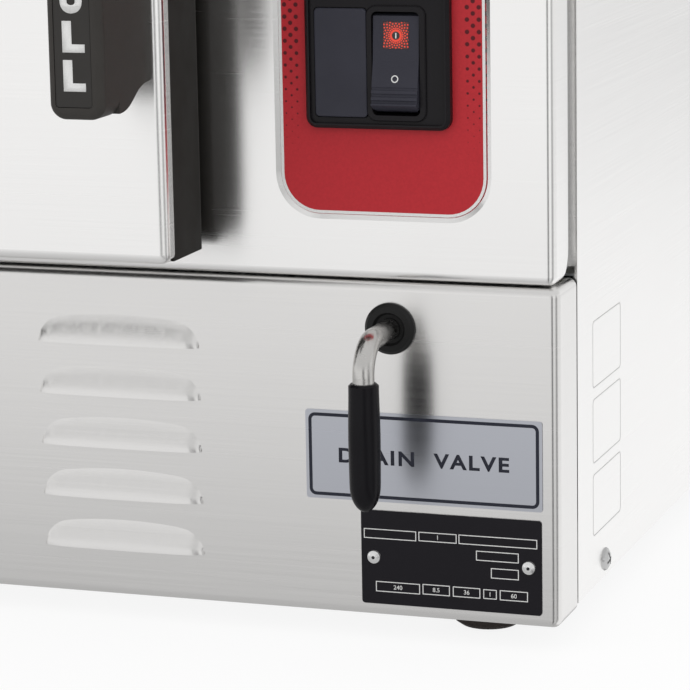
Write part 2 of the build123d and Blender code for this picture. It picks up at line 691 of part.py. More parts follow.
# Fan
def fan_guard():
    """Pressed cover in front of the fan: slots over its eye, and gaps at its sides for the air to return."""
    wide = (OPEN_MID_X - GUARD_WIDTH / 2, OPEN_MID_X + GUARD_WIDTH / 2)
    tall = (OPEN_MID_Z - GUARD_HEIGHT / 2, OPEN_MID_Z + GUARD_HEIGHT / 2)
    rear = FRONT + CAVITY_DEPTH
    depth = (rear - GUARD_DEPTH, rear - SEAT_GAP)
    guard = folded_pan(wide, depth, tall, 4 * SHEET, SHEET, ["back"])
    face = (rear - GUARD_DEPTH - 1, rear - GUARD_DEPTH + 4 * SHEET)
    eye = FAN_RADIUS * 0.8
    for row in range(GUARD_SLOTS):
        z = (row - (GUARD_SLOTS - 1) / 2) * 2 * eye / (GUARD_SLOTS + 0.2)
        half = (eye**2 - z**2) ** 0.5
        outline = front_plane(OPEN_MID_X, face[1], OPEN_MID_Z + z) * SlotOverall(2 * half, GUARD_SLOT)
        guard -= extrude(outline, amount=face[1] - face[0])
    pitch = GUARD_HEIGHT / (GUARD_GAPS + 1.25)
    for number in range(GUARD_GAPS):
        middle = OPEN_MID_Z + (number - (GUARD_GAPS - 1) / 2) * pitch
        gap = (middle - pitch / 3, middle + pitch / 3)
        guard -= block((wide[0] - 1, wide[1] + 1), (depth[0] + 10, depth[1] - 8), gap)
    return guard


def convection_fan():
    """Radial wheel: back disc, curved blades, front ring and a hub on the motor shaft."""
    rear = FRONT + CAVITY_DEPTH - FAN_CLEARANCE
    wheel = Cylinder(FAN_RADIUS, FAN_SHEET)
    wheel += Pos(0, 0, FAN_DEPTH) * (wheel - Cylinder(FAN_RADIUS - FAN_RING, 2 * FAN_SHEET))
    wheel += Pos(0, 0, FAN_HUB / 2) * Cylinder(FAN_HUB, FAN_HUB)
    curve = ThreePointArc((FAN_RADIUS * 0.48, 0), (FAN_RADIUS * 0.76, 7), (FAN_RADIUS - 1, 2))
    blade = extrude(make_face(offset(curve, FAN_SHEET / 2)), amount=FAN_DEPTH)
    wheel += [Rot(0, 0, 360 / FAN_BLADES * number) * blade for number in range(FAN_BLADES)]
    wheel -= Cylinder(MOTOR_SHAFT, 3 * FAN_DEPTH)
    return Pos(OPEN_MID_X, rear, OPEN_MID_Z) * Rot(90, 0, 0) * wheel


def motor_legs():
    reach = MOTOR_RADIUS + 4
    return [(OPEN_MID_X + sx * reach, OPEN_MID_Z + sz * reach) for sx in (-1, 1) for sz in (-1, 1)]


def fan_motor():
    """Finned motor on a square plate, and the four legs that stand on the rear wall of the cavity."""
    side = MOTOR_RADIUS + MOTOR_MARGIN
    wide = (OPEN_MID_X - side, OPEN_MID_X + side)
    tall = (OPEN_MID_Z - side, OPEN_MID_Z + side)
    rear = MOTOR_PLATE_Y + MOTOR_PLATE
    shell = rod_along("Y", MOTOR_RADIUS, (OPEN_MID_X, rear, OPEN_MID_Z), MOTOR_LENGTH)
    shell = fillet(shell.edges().sort_by(Axis.Y)[-1], 8)
    motor = front_plate(wide, tall, rear, MOTOR_PLATE, 10) + shell
    for number in range(MOTOR_FINS):
        start = (OPEN_MID_X, rear + FIN_PITCH * (number + 1.2), OPEN_MID_Z)
        motor += rod_along("Y", MOTOR_RADIUS + FIN_HEIGHT, start, FIN_THICK)
    bearing = (OPEN_MID_X, MOTOR_PLATE_Y - 1, OPEN_MID_Z)
    motor -= rod_along("Y", MOTOR_SHAFT + SHAFT_PLAY, bearing, MOTOR_BEARING + 1)
    wall = FRONT + CAVITY_DEPTH + LINER_SHEET
    legs = [rod_along("Y", MOTOR_LEG, (x, wall, z), MOTOR_PLATE_Y - wall) for x, z in motor_legs()]
    return [motor, *legs]


def motor_shaft():
    start = FRONT + CAVITY_DEPTH - FAN_CLEARANCE - 14
    end = MOTOR_PLATE_Y + MOTOR_BEARING - 1
    return rod_along("Y", MOTOR_SHAFT, (OPEN_MID_X, start, OPEN_MID_Z), end - start)


# Door
def door_skin():
    depth = (DOOR_FACE, DOOR_FACE + DOOR_SKIN_RETURN)
    wide, tall = door_limits(0)
    return folded_pan(wide, depth, tall, DOOR_BEND, DOOR_SHEET, ["back"])


def door_limits(inset):
    return (DOOR_LEFT + inset, DOOR_RIGHT - inset), (DOOR_BOTTOM + inset, DOOR_TOP - inset)


def door_frame():
    """Black frame of the door: it closes the sides, holds the liner and has a pocket for the latch."""
    wide, tall = door_limits(0.5)
    step = DOOR_FACE + DOOR_SKIN_RETURN + 0.1
    frame = block(wide, (step, DOOR_REAR), tall)
    frame = fillet(side_face(frame, "back").edges(), DOOR_BACK_RADIUS)
    wide, tall = door_limits(DOOR_SHEET + 0.3)
    frame += bent_block(wide, (DOOR_FACE + DOOR_SHEET + SEAT_GAP, step), tall, DOOR_BEND, ["back"])
    wide, tall = door_limits(LINER_MARGIN)
    frame -= block(wide, (DOOR_FACE, FRONT), tall)
    wide, tall = door_limits(GASKET_INSET - 2)
    frame -= front_plate(wide, tall, FRONT, DOOR_GAP + LINER_SEAT, 8)
    return frame - latch_pocket()


def latch_pocket():
    half = LATCH_WIDTH / 2 + 0.1
    tall = (DOOR_MID_Z - LATCH_HEIGHT / 2, DOOR_MID_Z + LATCH_HEIGHT / 2)
    return block((LATCH_X - half, LATCH_X + half), (DOOR_REAR - LATCH_DEPTH, FRONT), tall)


def door_core():
    wide, tall = door_limits(LINER_MARGIN + RUNNING_GAP)
    return block(wide, (DOOR_FACE + DOOR_SHEET, DOOR_REAR - LINER_SEAT), tall)


def door_liner():
    """Inner panel: a flat flange under the gasket and a raised middle."""
    seat = DOOR_REAR - LINER_SEAT
    wide, tall = door_limits(GASKET_INSET - 1.5)
    flange = front_plate(wide, tall, seat + DOOR_SHEET, DOOR_SHEET, 9)
    wide, tall = door_limits(LINER_MARGIN)
    raised = folded_pan(wide, (seat, FRONT - 1.5), tall, 5, DOOR_SHEET, ["front"])
    wide, tall = door_limits(LINER_MARGIN + DOOR_SHEET)
    hollow = block(wide, (seat - DOOR_SHEET, seat + 2 * DOOR_SHEET), tall)
    return flange - hollow + raised


def door_gasket():
    seat = DOOR_REAR - LINER_SEAT + DOOR_SHEET
    reach = FRONT - RUNNING_GAP - seat
    wide, tall = door_limits(GASKET_INSET)
    ring = front_plate(wide, tall, FRONT - RUNNING_GAP, reach, 12)
    wide, tall = door_limits(GASKET_INSET + GASKET_WIDTH)
    ring -= front_plate(wide, tall, FRONT, reach + 1, 6)
    lips = side_face(ring, "back").edges()
    return fillet(lips, 3)


def handle_bracket():
    """Web of the handle, cut back in an S at both ends where it meets the door."""
    right = HANDLE_CENTRE + HANDLE_WIDTH / 2
    back = DOOR_FACE
    front = FRONT - HANDLE_REACH + HANDLE_COVER_DEPTH
    mid = (back + front) / 2
    half = HANDLE_LENGTH / 2
    upper = half - HANDLE_CUT
    profile = [
        Line((back, -upper), (back, upper)),
        Bezier((back, upper), (mid, upper), (mid, half - 1), (front, half - 1)),
        Line((front, half - 1), (front, 1 - half)),
        Bezier((front, 1 - half), (mid, 1 - half), (mid, -upper), (back, -upper)),
    ]
    side = Plane(origin=(right, 0, DOOR_MID_Z), x_dir=(0, 1, 0), z_dir=(1, 0, 0))
    return extrude(side * make_face(Wire(profile)), amount=-HANDLE_WEB_WIDTH)


def handle_cover():
    """Front bar of the handle, with round edges and a shallow seat for the inset."""
    half = HANDLE_LENGTH / 2
    front = FRONT - HANDLE_REACH
    wide = (HANDLE_CENTRE - HANDLE_WIDTH / 2, HANDLE_CENTRE + HANDLE_WIDTH / 2)
    bar = block(wide, (front, front + HANDLE_COVER_DEPTH), (DOOR_MID_Z - half, DOOR_MID_Z + half))
    bar = fillet(bar.edges().filter_by(Axis.Y), 7)
    bar = fillet(side_face(bar, "front").edges(), HANDLE_RADIUS)
    wide, tall = inset_limits(INSET_PLAY)
    return bar - front_plate(wide, tall, front + INSET_DEPTH, INSET_DEPTH + 1, 1.5)


def inset_limits(play):
    half = HANDLE_LENGTH / 2 - INSET_MARGIN + play
    middle = HANDLE_CENTRE - INSET_SHIFT
    wide = (middle - INSET_WIDTH / 2 - play, middle + INSET_WIDTH / 2 + play)
    return wide, (DOOR_MID_Z - half, DOOR_MID_Z + half)


def handle_inset():
    wide, tall = inset_limits(0)
    front = FRONT - HANDLE_REACH
    return front_plate(wide, tall, front + INSET_DEPTH, INSET_DEPTH - 0.3, 1.2)


# Hinges
def hinge_levels():
    return (DOOR_BOTTOM + HINGE_INSET, DOOR_TOP - HINGE_INSET)


def hinge_brackets():
    """Frame halves: a leaf on the front frame and the lower knuckle, which holds the pin."""
    brackets = []
    edge = HINGE_X - HINGE_RADIUS
    for z in hinge_levels():
        low, high = z - HINGE_KNUCKLE - HINGE_PLAY, z - HINGE_PLAY
        bracket = rod_along("Z", HINGE_RADIUS, (HINGE_X, HINGE_Y, low), HINGE_KNUCKLE)
        bracket += block((edge, HINGE_X + HINGE_LEAF_WIDTH), (FRONT - HINGE_LEAF, FRONT), (low, high))
        bracket += block((edge, HINGE_X - 1), (HINGE_Y, FRONT), (low, high))
        brackets.append(bracket - hinge_bore(low, 0))
    return brackets


def hinge_bore(low, play):
    return rod_along("Z", HINGE_PIN_RADIUS + play, (HINGE_X, HINGE_Y, low - 1), HINGE_KNUCKLE + 2)


def hinge_leaves():
    """Door halves: a leaf on the door's edge and the upper knuckle, which turns on the pin."""
    leaves = []
    front = HINGE_Y - HINGE_RADIUS
    for z in hinge_levels():
        low, high = z + HINGE_PLAY, z + HINGE_PLAY + HINGE_KNUCKLE
        leaf = rod_along("Z", HINGE_RADIUS, (HINGE_X, HINGE_Y, low), HINGE_KNUCKLE)
        leaf += block((DOOR_LEFT - HINGE_LEAF, DOOR_LEFT), (DOOR_FACE + 12, HINGE_Y), (low, high))
        leaf += block((HINGE_X, DOOR_LEFT), (front, front + HINGE_LEAF), (low, high))
        leaves.append(leaf - hinge_bore(low, HINGE_PIN_PLAY))
    return leaves


def hinge_pins():
    """Pins with a head under the lower knuckle."""
    pins = []
    head = 2.0
    for z in hinge_levels():
        low = z - HINGE_KNUCKLE - HINGE_PLAY
        pin = rod_along("Z", HINGE_PIN_RADIUS, (HINGE_X, HINGE_Y, low), 2 * (HINGE_KNUCKLE + HINGE_PLAY))
        pins.append(pin + rod_along("Z", HINGE_PIN_RADIUS + 1.5, (HINGE_X, HINGE_Y, low - head), head))
    return pins


# Latch
def latch_catch():
    """Housing in the door's pocket, open toward the frame, that carries two rollers."""
    wide = (LATCH_X - LATCH_WIDTH / 2, LATCH_X + LATCH_WIDTH / 2)
    front, rear = DOOR_REAR - LATCH_DEPTH, DOOR_REAR
    low, high = DOOR_MID_Z - LATCH_HEIGHT / 2, DOOR_MID_Z + LATCH_HEIGHT / 2
    wall = LATCH_WALL
    hollow = block((wide[0] + wall, wide[1] - wall), (front + wall, rear + wall), (low + wall, high - wall))
    body = block(wide, (front, rear), (low, high)) - hollow
    mouth = STRIKER_RADIUS + 1.2
    lips = [(low, DOOR_MID_Z - mouth), (DOOR_MID_Z + mouth, high)]
    return body + [block(wide, (rear - wall, rear), lip) for lip in lips]


def latch_rollers():
    y = DOOR_REAR - LATCH_DEPTH / 2
    step = STRIKER_RADIUS + ROLLER_RADIUS + 0.4
    length = LATCH_WIDTH - 2 * (LATCH_WALL + SEAT_GAP)
    start = LATCH_X - length / 2
    return [rod_along("X", ROLLER_RADIUS, (start, y, DOOR_MID_Z + side * step), length) for side in (-1, 1)]


def latch_striker():
    """Stud on the front frame that the rollers close round."""
    plate = front_plate((LATCH_X - 5, LATCH_X + 5), (DOOR_MID_Z - 14, DOOR_MID_Z + 14), FRONT, LATCH_WALL, 2)
    radius, reach = STRIKER_RADIUS, STRIKER_REACH
    profile = [(0, -1), (radius, -1), (radius, reach - 4), (radius - 2.5, reach), (0, reach)]
    return plate + turned(profile, LATCH_X, FRONT - 2, DOOR_MID_Z)


# Controls
def graphic_overlay():
    wide = (OVERLAY_LEFT + RECESS_WALL, OVERLAY_RIGHT - RECESS_WALL)
    tall = (OVERLAY_BOTTOM + RECESS_WALL, OVERLAY_TOP - RECESS_WALL)
    plate = front_plate(wide, tall, CONTROL_SEAT, OVERLAY_THICK, OVERLAY_CORNER - RECESS_WALL)
    return plate - panel_holes((FRONT - RECESS, CONTROL_SEAT + RECESS))


def switch_frame():
    """Two-gang frame: a stepped rim on the overlay, a bezel round the rocker, a collar through the panel."""
    wide = (SWITCH_LEFT, SWITCH_LEFT + SWITCH_WIDTH)
    tall = (SWITCH_BOTTOM, SWITCH_BOTTOM + SWITCH_HEIGHT)
    front = OVERLAY_FACE - SWITCH_PROUD
    frame = front_plate(wide, tall, OVERLAY_FACE, SWITCH_PROUD, SWITCH_CORNER)
    frame = chamfer(side_face(frame, "front").edges(), SWITCH_PROUD * 0.3)
    tray = [(low + SWITCH_STEP, high - SWITCH_STEP) for low, high in (wide, tall)]
    frame -= front_plate(*tray, front + SWITCH_TRAY, 2 * SWITCH_TRAY, SWITCH_CORNER - SWITCH_STEP)
    side = ROCKER_WIDTH / 2 + ROCKER_PLAY + BEZEL_WIDTH
    half = ROCKER_HEIGHT / 2 + ROCKER_PLAY + BEZEL_WIDTH
    around = (ROCKER_X - side, ROCKER_X + side), (ROCKER_Z - half, ROCKER_Z + half)
    bezel = front_plate(*around, front + SWITCH_TRAY, SWITCH_TRAY * 0.8, BEZEL_CORNER)
    frame += chamfer(side_face(bezel, "front").edges(), SWITCH_TRAY * 0.3)
    collar = [(low + SWITCH_RIM, high - SWITCH_RIM) for low, high in (wide, tall)]
    frame += block(collar[0], (OVERLAY_FACE, FRONT + SWITCH_COLLAR), collar[1])
    frame -= switch_slot(ROCKER_X, ROCKER_WIDTH, ROCKER_HEIGHT, ROCKER_PLAY, ROCKER_CORNER)
    frame -= switch_slot(PLUG_X, PLUG_WIDTH, PLUG_HEIGHT, RUNNING_GAP, PLUG_CORNER)
    return frame - rocker_pivot(RUNNING_GAP, SHAFT_PLAY)


def rocker_pivot(reach, play):
    """Round pin across the rocker, or with clearances the hole that it turns in."""
    half = ROCKER_WIDTH / 2 + PIVOT_REACH + reach
    return rod_along("X", PIVOT_RADIUS + play, (ROCKER_X - half, PIVOT_Y, ROCKER_Z), 2 * half)


def switch_slot(x, width, height, play, corner):
    """Cutter through the frame for the rocker or for the plug."""
    wide = (x - width / 2 - play, x + width / 2 + play)
    tall = (ROCKER_Z - height / 2 - play, ROCKER_Z + height / 2 + play)
    back = FRONT + 2 * SWITCH_COLLAR
    return front_plate(wide, tall, back, back - FRONT + 3 * SWITCH_PROUD, corner)


def rocker_blank():
    """Rocker before it is tipped: a shallow V front, and ends that are arcs about the pivot."""
    radius = ROCKER_HEIGHT / 2
    edge = -ROCKER_FACE - ROCKER_WING
    front = [(edge, -radius), (-ROCKER_FACE, 0), (edge, radius)]
    outline = Polyline(*front, (1, radius), (1, -radius), close=True)
    section = Plane(origin=(ROCKER_X, PIVOT_Y, ROCKER_Z), x_dir=(0, 1, 0), z_dir=(1, 0, 0))
    body = extrude(section * make_face(outline), amount=ROCKER_WIDTH / 2, both=True)
    body &= rod_along("X", radius, (ROCKER_X - ROCKER_WIDTH / 2, PIVOT_Y, ROCKER_Z), ROCKER_WIDTH)
    return body & switch_slot(ROCKER_X, ROCKER_WIDTH, ROCKER_HEIGHT, 0, ROCKER_CORNER)


def tipped(shape):
    """Turned about the pivot to ON."""
    return shape.rotate(Axis((ROCKER_X, PIVOT_Y, ROCKER_Z), (1, 0, 0)), -ROCKER_TILT)


def lens_seat(play):
    """Square prism through the rocker's upper face."""
    half = LENS_SIZE / 2 + play
    z = ROCKER_Z + LENS_RISE
    face = PIVOT_Y - ROCKER_FACE
    deep = (face - LENS_DEPTH, face + LENS_THICK + play)
    return block((ROCKER_X - half, ROCKER_X + half), deep, (z - half, z + half))


def power_rocker():
    """Rocker with its pivot, a seat for the lens and grooves for the finger on the lower half."""
    body = rocker_blank() + rocker_pivot(0, 0) - lens_seat(SEAT_GAP)
    radius = ROCKER_HEIGHT / 2
    front = PIVOT_Y - ROCKER_FACE - ROCKER_WING * 0.75
    for number in range(GRIP_GROOVES):
        start = (ROCKER_X - ROCKER_WIDTH, front, ROCKER_Z - radius * (0.55 + 0.13 * number))
        body -= rod_along("X", 0.8, start, 2 * ROCKER_WIDTH)
    return tipped(body)


def rocker_lens():
    return tipped(rocker_blank() & lens_seat(0))


def blank_plug():
    half = PLUG_HEIGHT / 2
    side = PLUG_WIDTH / 2
    front = OVERLAY_FACE - SWITCH_PROUD * 0.9
    deep = (front, FRONT + SWITCH_COLLAR)
    plug = block((PLUG_X - side, PLUG_X + side), deep, (ROCKER_Z - half, ROCKER_Z + half))
    plug = fillet(plug.edges().filter_by(Axis.Y), PLUG_CORNER)
    return fillet(side_face(plug, "front").edges(), 0.8)


def switch_body():
    """Switch behind the panel: it closes the back of the frame and carries three blade terminals."""
    collar = FRONT + SWITCH_COLLAR
    rear = collar + SWITCH_DEPTH
    half = ROCKER_HEIGHT / 2 + 3
    side = ROCKER_WIDTH / 2 + 2.1
    body = block((ROCKER_X - side, ROCKER_X + side), (collar, rear), (ROCKER_Z - half, ROCKER_Z + half))
    blade = block((-3.2, 3.2), (rear, rear + TERMINAL), (-0.4, 0.4))
    return body + [Pos(ROCKER_X, 0, ROCKER_Z + z) * blade for z in (-14, 0, 14)]


def timer_body():
    start = CONTROL_SEAT + SHEET
    half = TIMER_SIZE / 2
    deep = (start, start + TIMER_DEPTH)
    box = block((TIMER_X - half, TIMER_X + half), deep, (TIMER_Z - half, TIMER_Z + half))
    box = fillet(box.edges().filter_by(Axis.Y), 4)
    neck = (TIMER_X, OVERLAY_FACE, TIMER_Z)
    collar = rod_along("Y", TIMER_HOLE - RUNNING_GAP, neck, start + 1 - OVERLAY_FACE)
    bore = rod_along("Y", SHAFT_RADIUS + SHAFT_PLAY, (TIMER_X, OVERLAY_FACE - 1, TIMER_Z), TIMER_SHAFT + 1)
    return box + collar - bore


def timer_knob():
    """Skirted knob with a grip bar that points to the minutes."""
    base = OVERLAY_FACE - KNOB_GAP
    radius, length = TIMER_KNOB_RADIUS, TIMER_KNOB_LENGTH
    core = radius * 0.7
    skirt = [(0, 0), (radius, 0), (radius, 1.5), (radius - 1.5, 4), (core + 1, 5.5), (core, 7), (0, 7)]
    knob = turned(skirt, TIMER_X, base, TIMER_Z)
    bar = (TIMER_X - 5.5, TIMER_X + 5.5), (TIMER_Z - radius * 0.9, TIMER_Z + radius * 0.9)
    grip = front_plate(*bar, base - 3, length - 3, 5)
    knob += fillet(side_face(grip, "front").edges(), 2)
    return knob - rod_along("Y", SHAFT_RADIUS, (TIMER_X, base - KNOB_SOCKET, TIMER_Z), KNOB_SOCKET + 2)


def timer_shaft():
    start = OVERLAY_FACE - KNOB_GAP - KNOB_SOCKET
    return rod_along("Y", SHAFT_RADIUS, (TIMER_X, start, TIMER_Z), OVERLAY_FACE + TIMER_SHAFT - 1 - start)


def lamp(x):
    """Indicator with a domed lens before the overlay and its body through the panel."""
    stem = LAMP_STEM
    dome = [(stem, 2.2), (stem * 0.8, 3.6), (stem * 0.45, 4.4), (0, 4.7)]
    profile = [(0, -LAMP_DEPTH), (stem, -LAMP_DEPTH), (stem, 0), (LAMP_RADIUS, 0), (LAMP_RADIUS, 1.2), *dome]
    return turned(profile, x, OVERLAY_FACE, LAMP_Z)


# Drain lever and valve
def drain_lever_rod():
    """Bent bar: from the plunger forward through the gland and the grommet, then down into the grip."""
    y = FRONT - LEVER_REACH
    end = GRIP_TOP - GRIP_LENGTH + GRIP_END
    points = [(LEVER_X, PLUNGER_FRONT, LEVER_Z), (LEVER_X, y, LEVER_Z), (LEVER_X, y, end)]
    return bent_tube(points, LEVER_BEND, ROD_RADIUS)


def lever_grip():
    """Moulded grip pushed on the rod, thickest a third of the way down and drawn in to a round end."""
    top, length, radius = GRIP_TOP, GRIP_LENGTH, GRIP_RADIUS
    outline = Spline(
        (radius * 0.95, top - 1), (radius, top - length * 0.35), (radius * 0.98, top - length * 0.75),
        (radius * 0.72, top - length * 0.93), (0, top - length), tangents=((0, -1), (-1, 0)),
    )
    edge = Polyline((0, top - length), (0, top), (radius * 0.8, top), (radius * 0.95, top - 1))
    grip = revolve(Plane.XZ * make_face(Wire([*edge.edges(), outline])), Axis.Z)
    grip -= rod_along("Z", ROD_RADIUS + SHAFT_PLAY, (0, 0, top - length + GRIP_END), length)
    return Pos(LEVER_X, FRONT - LEVER_REACH, 0) * grip


def lever_grommet():
    """Rubber bush in the lower panel, dished round the rod."""
    bore = ROD_RADIUS + 0.15
    radius = GROMMET_RADIUS
    behind = [(bore, -GROMMET_DEPTH), (radius - 1.5, -GROMMET_DEPTH), (radius - 1.5, -SHEET - SEAT_GAP)]
    neck = [(GROMMET_NECK, -SHEET - SEAT_GAP), (GROMMET_NECK, 0)]
    rim = [(radius, 0), (radius, 1.2), (radius - 1.4, 2.8)]
    dish = [(bore + 2.6, 3.0), (bore + 1.6, 1.2), (bore, 1.0)]
    return turned(behind + neck + rim + dish, LEVER_X, FRONT, LEVER_Z)


def valve_body():
    """Brass body: chamber along the lever, side inlet from the cavity and a seat at the rear."""
    start = FRONT + VALVE_START
    end = start + VALVE_LENGTH
    wall = VALVE_LAND
    body = rod_along("Y", VALVE_RADIUS, (LEVER_X, start, LEVER_Z), VALVE_LENGTH)
    body = fillet(body.edges().filter_by(GeomType.CIRCLE), 2)
    body += rod_along("Y", OUTLET_RADIUS + VALVE_SOCKET, (LEVER_X, end - 2, LEVER_Z), VALVE_TAIL + 2)
    inlet = LEVER_X - VALVE_RADIUS - VALVE_INLET
    side = (inlet, FRONT + DRAIN_Y, LEVER_Z)
    body += rod_along("X", PIPE_RADIUS + VALVE_SOCKET, side, LEVER_X - inlet)
    body -= rod_along("Y", VALVE_BORE, (LEVER_X, start + wall, LEVER_Z), VALVE_LENGTH - 2 * wall)
    body -= rod_along("Y", VALVE_SEAT, (LEVER_X, end - wall - 1, LEVER_Z), 2 * wall)
    body -= rod_along("Y", OUTLET_RADIUS, (LEVER_X, end + 2, LEVER_Z), 2 * VALVE_TAIL)
    body -= rod_along("Y", GLAND_NECK, (LEVER_X, start - 1, LEVER_Z), wall + 3)
    body -= rod_along("X", PIPE_RADIUS - PIPE_WALL, side, LEVER_X - inlet)
    return body - rod_along("X", PIPE_RADIUS, side, VALVE_INLET / 2)


def valve_gland():
    """Hexagon gland nut that the lever slides through."""
    start = FRONT + VALVE_START
    head = 9.0
    nut = extrude(front_plane(LEVER_X, start, LEVER_Z) * RegularPolygon(GLAND_NECK + 4, 6), amount=head)
    nut += rod_along("Y", GLAND_NECK - SHAFT_PLAY, (LEVER_X, start - 1, LEVER_Z), VALVE_LAND + 1)
    bore = (LEVER_X, start - 2 * head, LEVER_Z)
    return nut - rod_along("Y", ROD_RADIUS + SHAFT_PLAY, bore, 4 * head)


def valve_plunger():
    """Rubber-faced plug on the lever's end, which closes the seat."""
    seat = FRONT + VALVE_START + VALVE_LENGTH - VALVE_LAND
    length = seat - RUNNING_GAP - PLUNGER_FRONT
    radius = VALVE_BORE - 1.2
    rim = [(radius, 1.5), (radius, length - 1), (radius - 1, length)]
    profile = [(0, 0), (radius - 1.5, 0), *rim, (0, length)]
    plunger = revolve(Plane.XZ * make_face(Polyline(*profile, close=True)), Axis.Z)
    return Pos(LEVER_X, PLUNGER_FRONT, LEVER_Z) * Rot(-90, 0, 0) * plunger


def drain_feed_pipe():
    y = FRONT + DRAIN_Y
    end = LEVER_X - VALVE_RADIUS - VALVE_INLET / 2
    points = [(DRAIN_X, y, SPOUT_END), (DRAIN_X, y, LEVER_Z), (end, y, LEVER_Z)]
    return bent_tube(points, FEED_BEND, PIPE_RADIUS, PIPE_WALL)


def drain_outlet_pipe():
    """Steel pipe from the valve to the rear, with a collar outside the panel, where a drain line joins it."""
    start = FRONT + VALVE_START + VALVE_LENGTH + 2
    down = start + OUTLET_DROP
    last = BACK - OUTLET_BEND
    route = [(start, LEVER_Z), (down, LEVER_Z), (down, OUTLET_Z), (last, OUTLET_Z)]
    pipe = bent_tube([(LEVER_X, y, z) for y, z in route], OUTLET_BEND, OUTLET_RADIUS, OUTLET_WALL)
    end = rod_along("Y", OUTLET_RADIUS, (LEVER_X, last, OUTLET_Z), BACK + OUTLET_REACH - last)
    end += rod_along("Y", OUTLET_RADIUS + OUTLET_WALL, (LEVER_X, BACK, OUTLET_Z), OUTLET_COLLAR)
    end -= rod_along("Y", OUTLET_RADIUS - OUTLET_WALL, (LEVER_X, last - 1, OUTLET_Z), BACK)
    return pipe + end


def fill_valve():
    """Solenoid valve inside the rear panel: hose thread outside it, coil on top, spigot toward the cavity."""
    rear = BACK - SHEET
    front = rear - FILL_BODY
    wide = (FILL_X - FILL_WIDE / 2, FILL_X + FILL_WIDE / 2)
    body = block(wide, (front, rear), (OUTLET_Z - FILL_TALL / 2, OUTLET_Z + FILL_TALL / 2))
    body = fillet(body.edges().filter_by(Axis.Y), 4)
    body += rod_along("Y", FILL_SHOULDER, (FILL_X, rear - 1, OUTLET_Z), SHEET + 2)
    body += rod_along("Y", FILL_RADIUS, (FILL_X, rear, OUTLET_Z), SHEET + FILL_REACH)
    body += rod_along("Z", COIL_RADIUS, (FILL_X, rear - FILL_BODY / 2, OUTLET_Z), COIL_TOP)
    body += rod_along("Y", FILL_TUBE, (FILL_X, FILL_Y, OUTLET_Z), front + 1 - FILL_Y)
    body += rod_along("Z", FILL_TUBE + 2, (FILL_X, FILL_Y, OUTLET_Z - FILL_TUBE - 3), FILL_TUBE + 18)
    return body - rod_along("Y", FILL_RADIUS - 2, (FILL_X, rear + 4, OUTLET_Z), FILL_REACH)


def fill_tube():
    points = [
        (FILL_X, FILL_Y, OUTLET_Z + 15), (FILL_X, FILL_Y, FILL_PORT_Z),
        (FILL_X, FILL_PORT_Y, FILL_PORT_Z), (OPEN_RIGHT, FILL_PORT_Y, FILL_PORT_Z),
    ]
    return bent_tube(points, FILL_BEND, FILL_TUBE, 1)


# Electrical pieces on the deck
def contactor():
    """Contactor with a raised middle and three open terminals along the front and the rear."""
    x, y, half = CONTACTOR_X, CONTACTOR_Y, CONTACTOR_WIDTH / 2
    shoulder = DECK + CONTACTOR_HEIGHT
    rise = shoulder + CONTACTOR_RISE
    deep = CONTACTOR_DEPTH / 2
    body = block((x - half, x + half), (y - deep, y + deep), (DECK, shoulder))
    body += block((x - half + 8, x + half - 8), (y - deep + 16, y + deep - 16), (shoulder, rise))
    body = fillet(body.edges().filter_by(Axis.Z), 2)
    slot = block((-4, 4), (-5, 5), (shoulder - 8, rise))
    rows = (5 - deep, deep - 5)
    return body - [Pos(x + across, y + row, 0) * slot for across in (-16, 0, 16) for row in rows]


# Plates, screws and feet
def drain_label():
    return front_plate((LABEL_LEFT, LABEL_RIGHT), (LABEL_BOTTOM, LABEL_TOP), FRONT, PLATE_THICK, 1.2)


def data_plate():
    plate = front_plate((PLATE_LEFT, PLATE_RIGHT), (PLATE_BOTTOM, PLATE_TOP), FRONT, PLATE_THICK, 1.5)
    through = (FRONT - 2 * PLATE_THICK, FRONT + PLATE_THICK)
    return plate - [round_hole(x, RIVET_Z, RIVET_RADIUS / 2 + SEAT_GAP, through) for x in RIVET_PLACES]


def plate_rivets():
    """Blind rivets: a low dome on the plate and a stem through it."""
    seat = FRONT - PLATE_THICK
    stem = RIVET_RADIUS / 2
    dome = [(RIVET_RADIUS, 0), (RIVET_RADIUS * 0.9, 0.7), (stem, 1.3), (0, 1.5)]
    profile = [(0, -PLATE_THICK), (stem, -PLATE_THICK), (stem, 0), *dome]
    return [turned(profile, x, seat, RIVET_Z) for x in RIVET_PLACES]


def side_screw_places():
    return [FRONT + SIDE_SCREW_Y, FRONT + BODY_DEPTH / 2, BACK - SIDE_SCREW_Y]


def side_screw_holes(depth):
    start = RIGHT - depth - 1
    radius = SCREW_RADIUS + SEAT_GAP
    return [rod_along("X", radius, (start, y, SIDE_SCREW_Z), depth + 2) for y in side_screw_places()]


def case_screws():
    """Truss-head screws along the foot of each side."""
    shank = [(0, -9), (SCREW_RADIUS, -9), (SCREW_RADIUS, 0)]
    head = [(SCREW_HEAD, 0), (SCREW_HEAD * 0.92, 0.9), (SCREW_HEAD * 0.55, 2.1), (0, 2.5)]
    screw = revolve(Plane.XZ * make_face(Polyline(*shank, *head, close=True)), Axis.Z)
    screw -= [Pos(0, 0, 2.4) * Box(7, 1.2, 1.6), Pos(0, 0, 2.4) * Box(1.2, 7, 1.6)]
    screws = []
    for y in side_screw_places():
        screws += both_sides(Pos(RIGHT, y, SIDE_SCREW_Z) * Rot(0, 90, 0) * Rot(0, 0, 20) * screw)
    return screws


def foot_places():
    rows = (FRONT + FOOT_INSET, BACK - FOOT_INSET)
    return [(x, y) for x in (FOOT_INSET - RIGHT, RIGHT - FOOT_INSET) for y in rows]


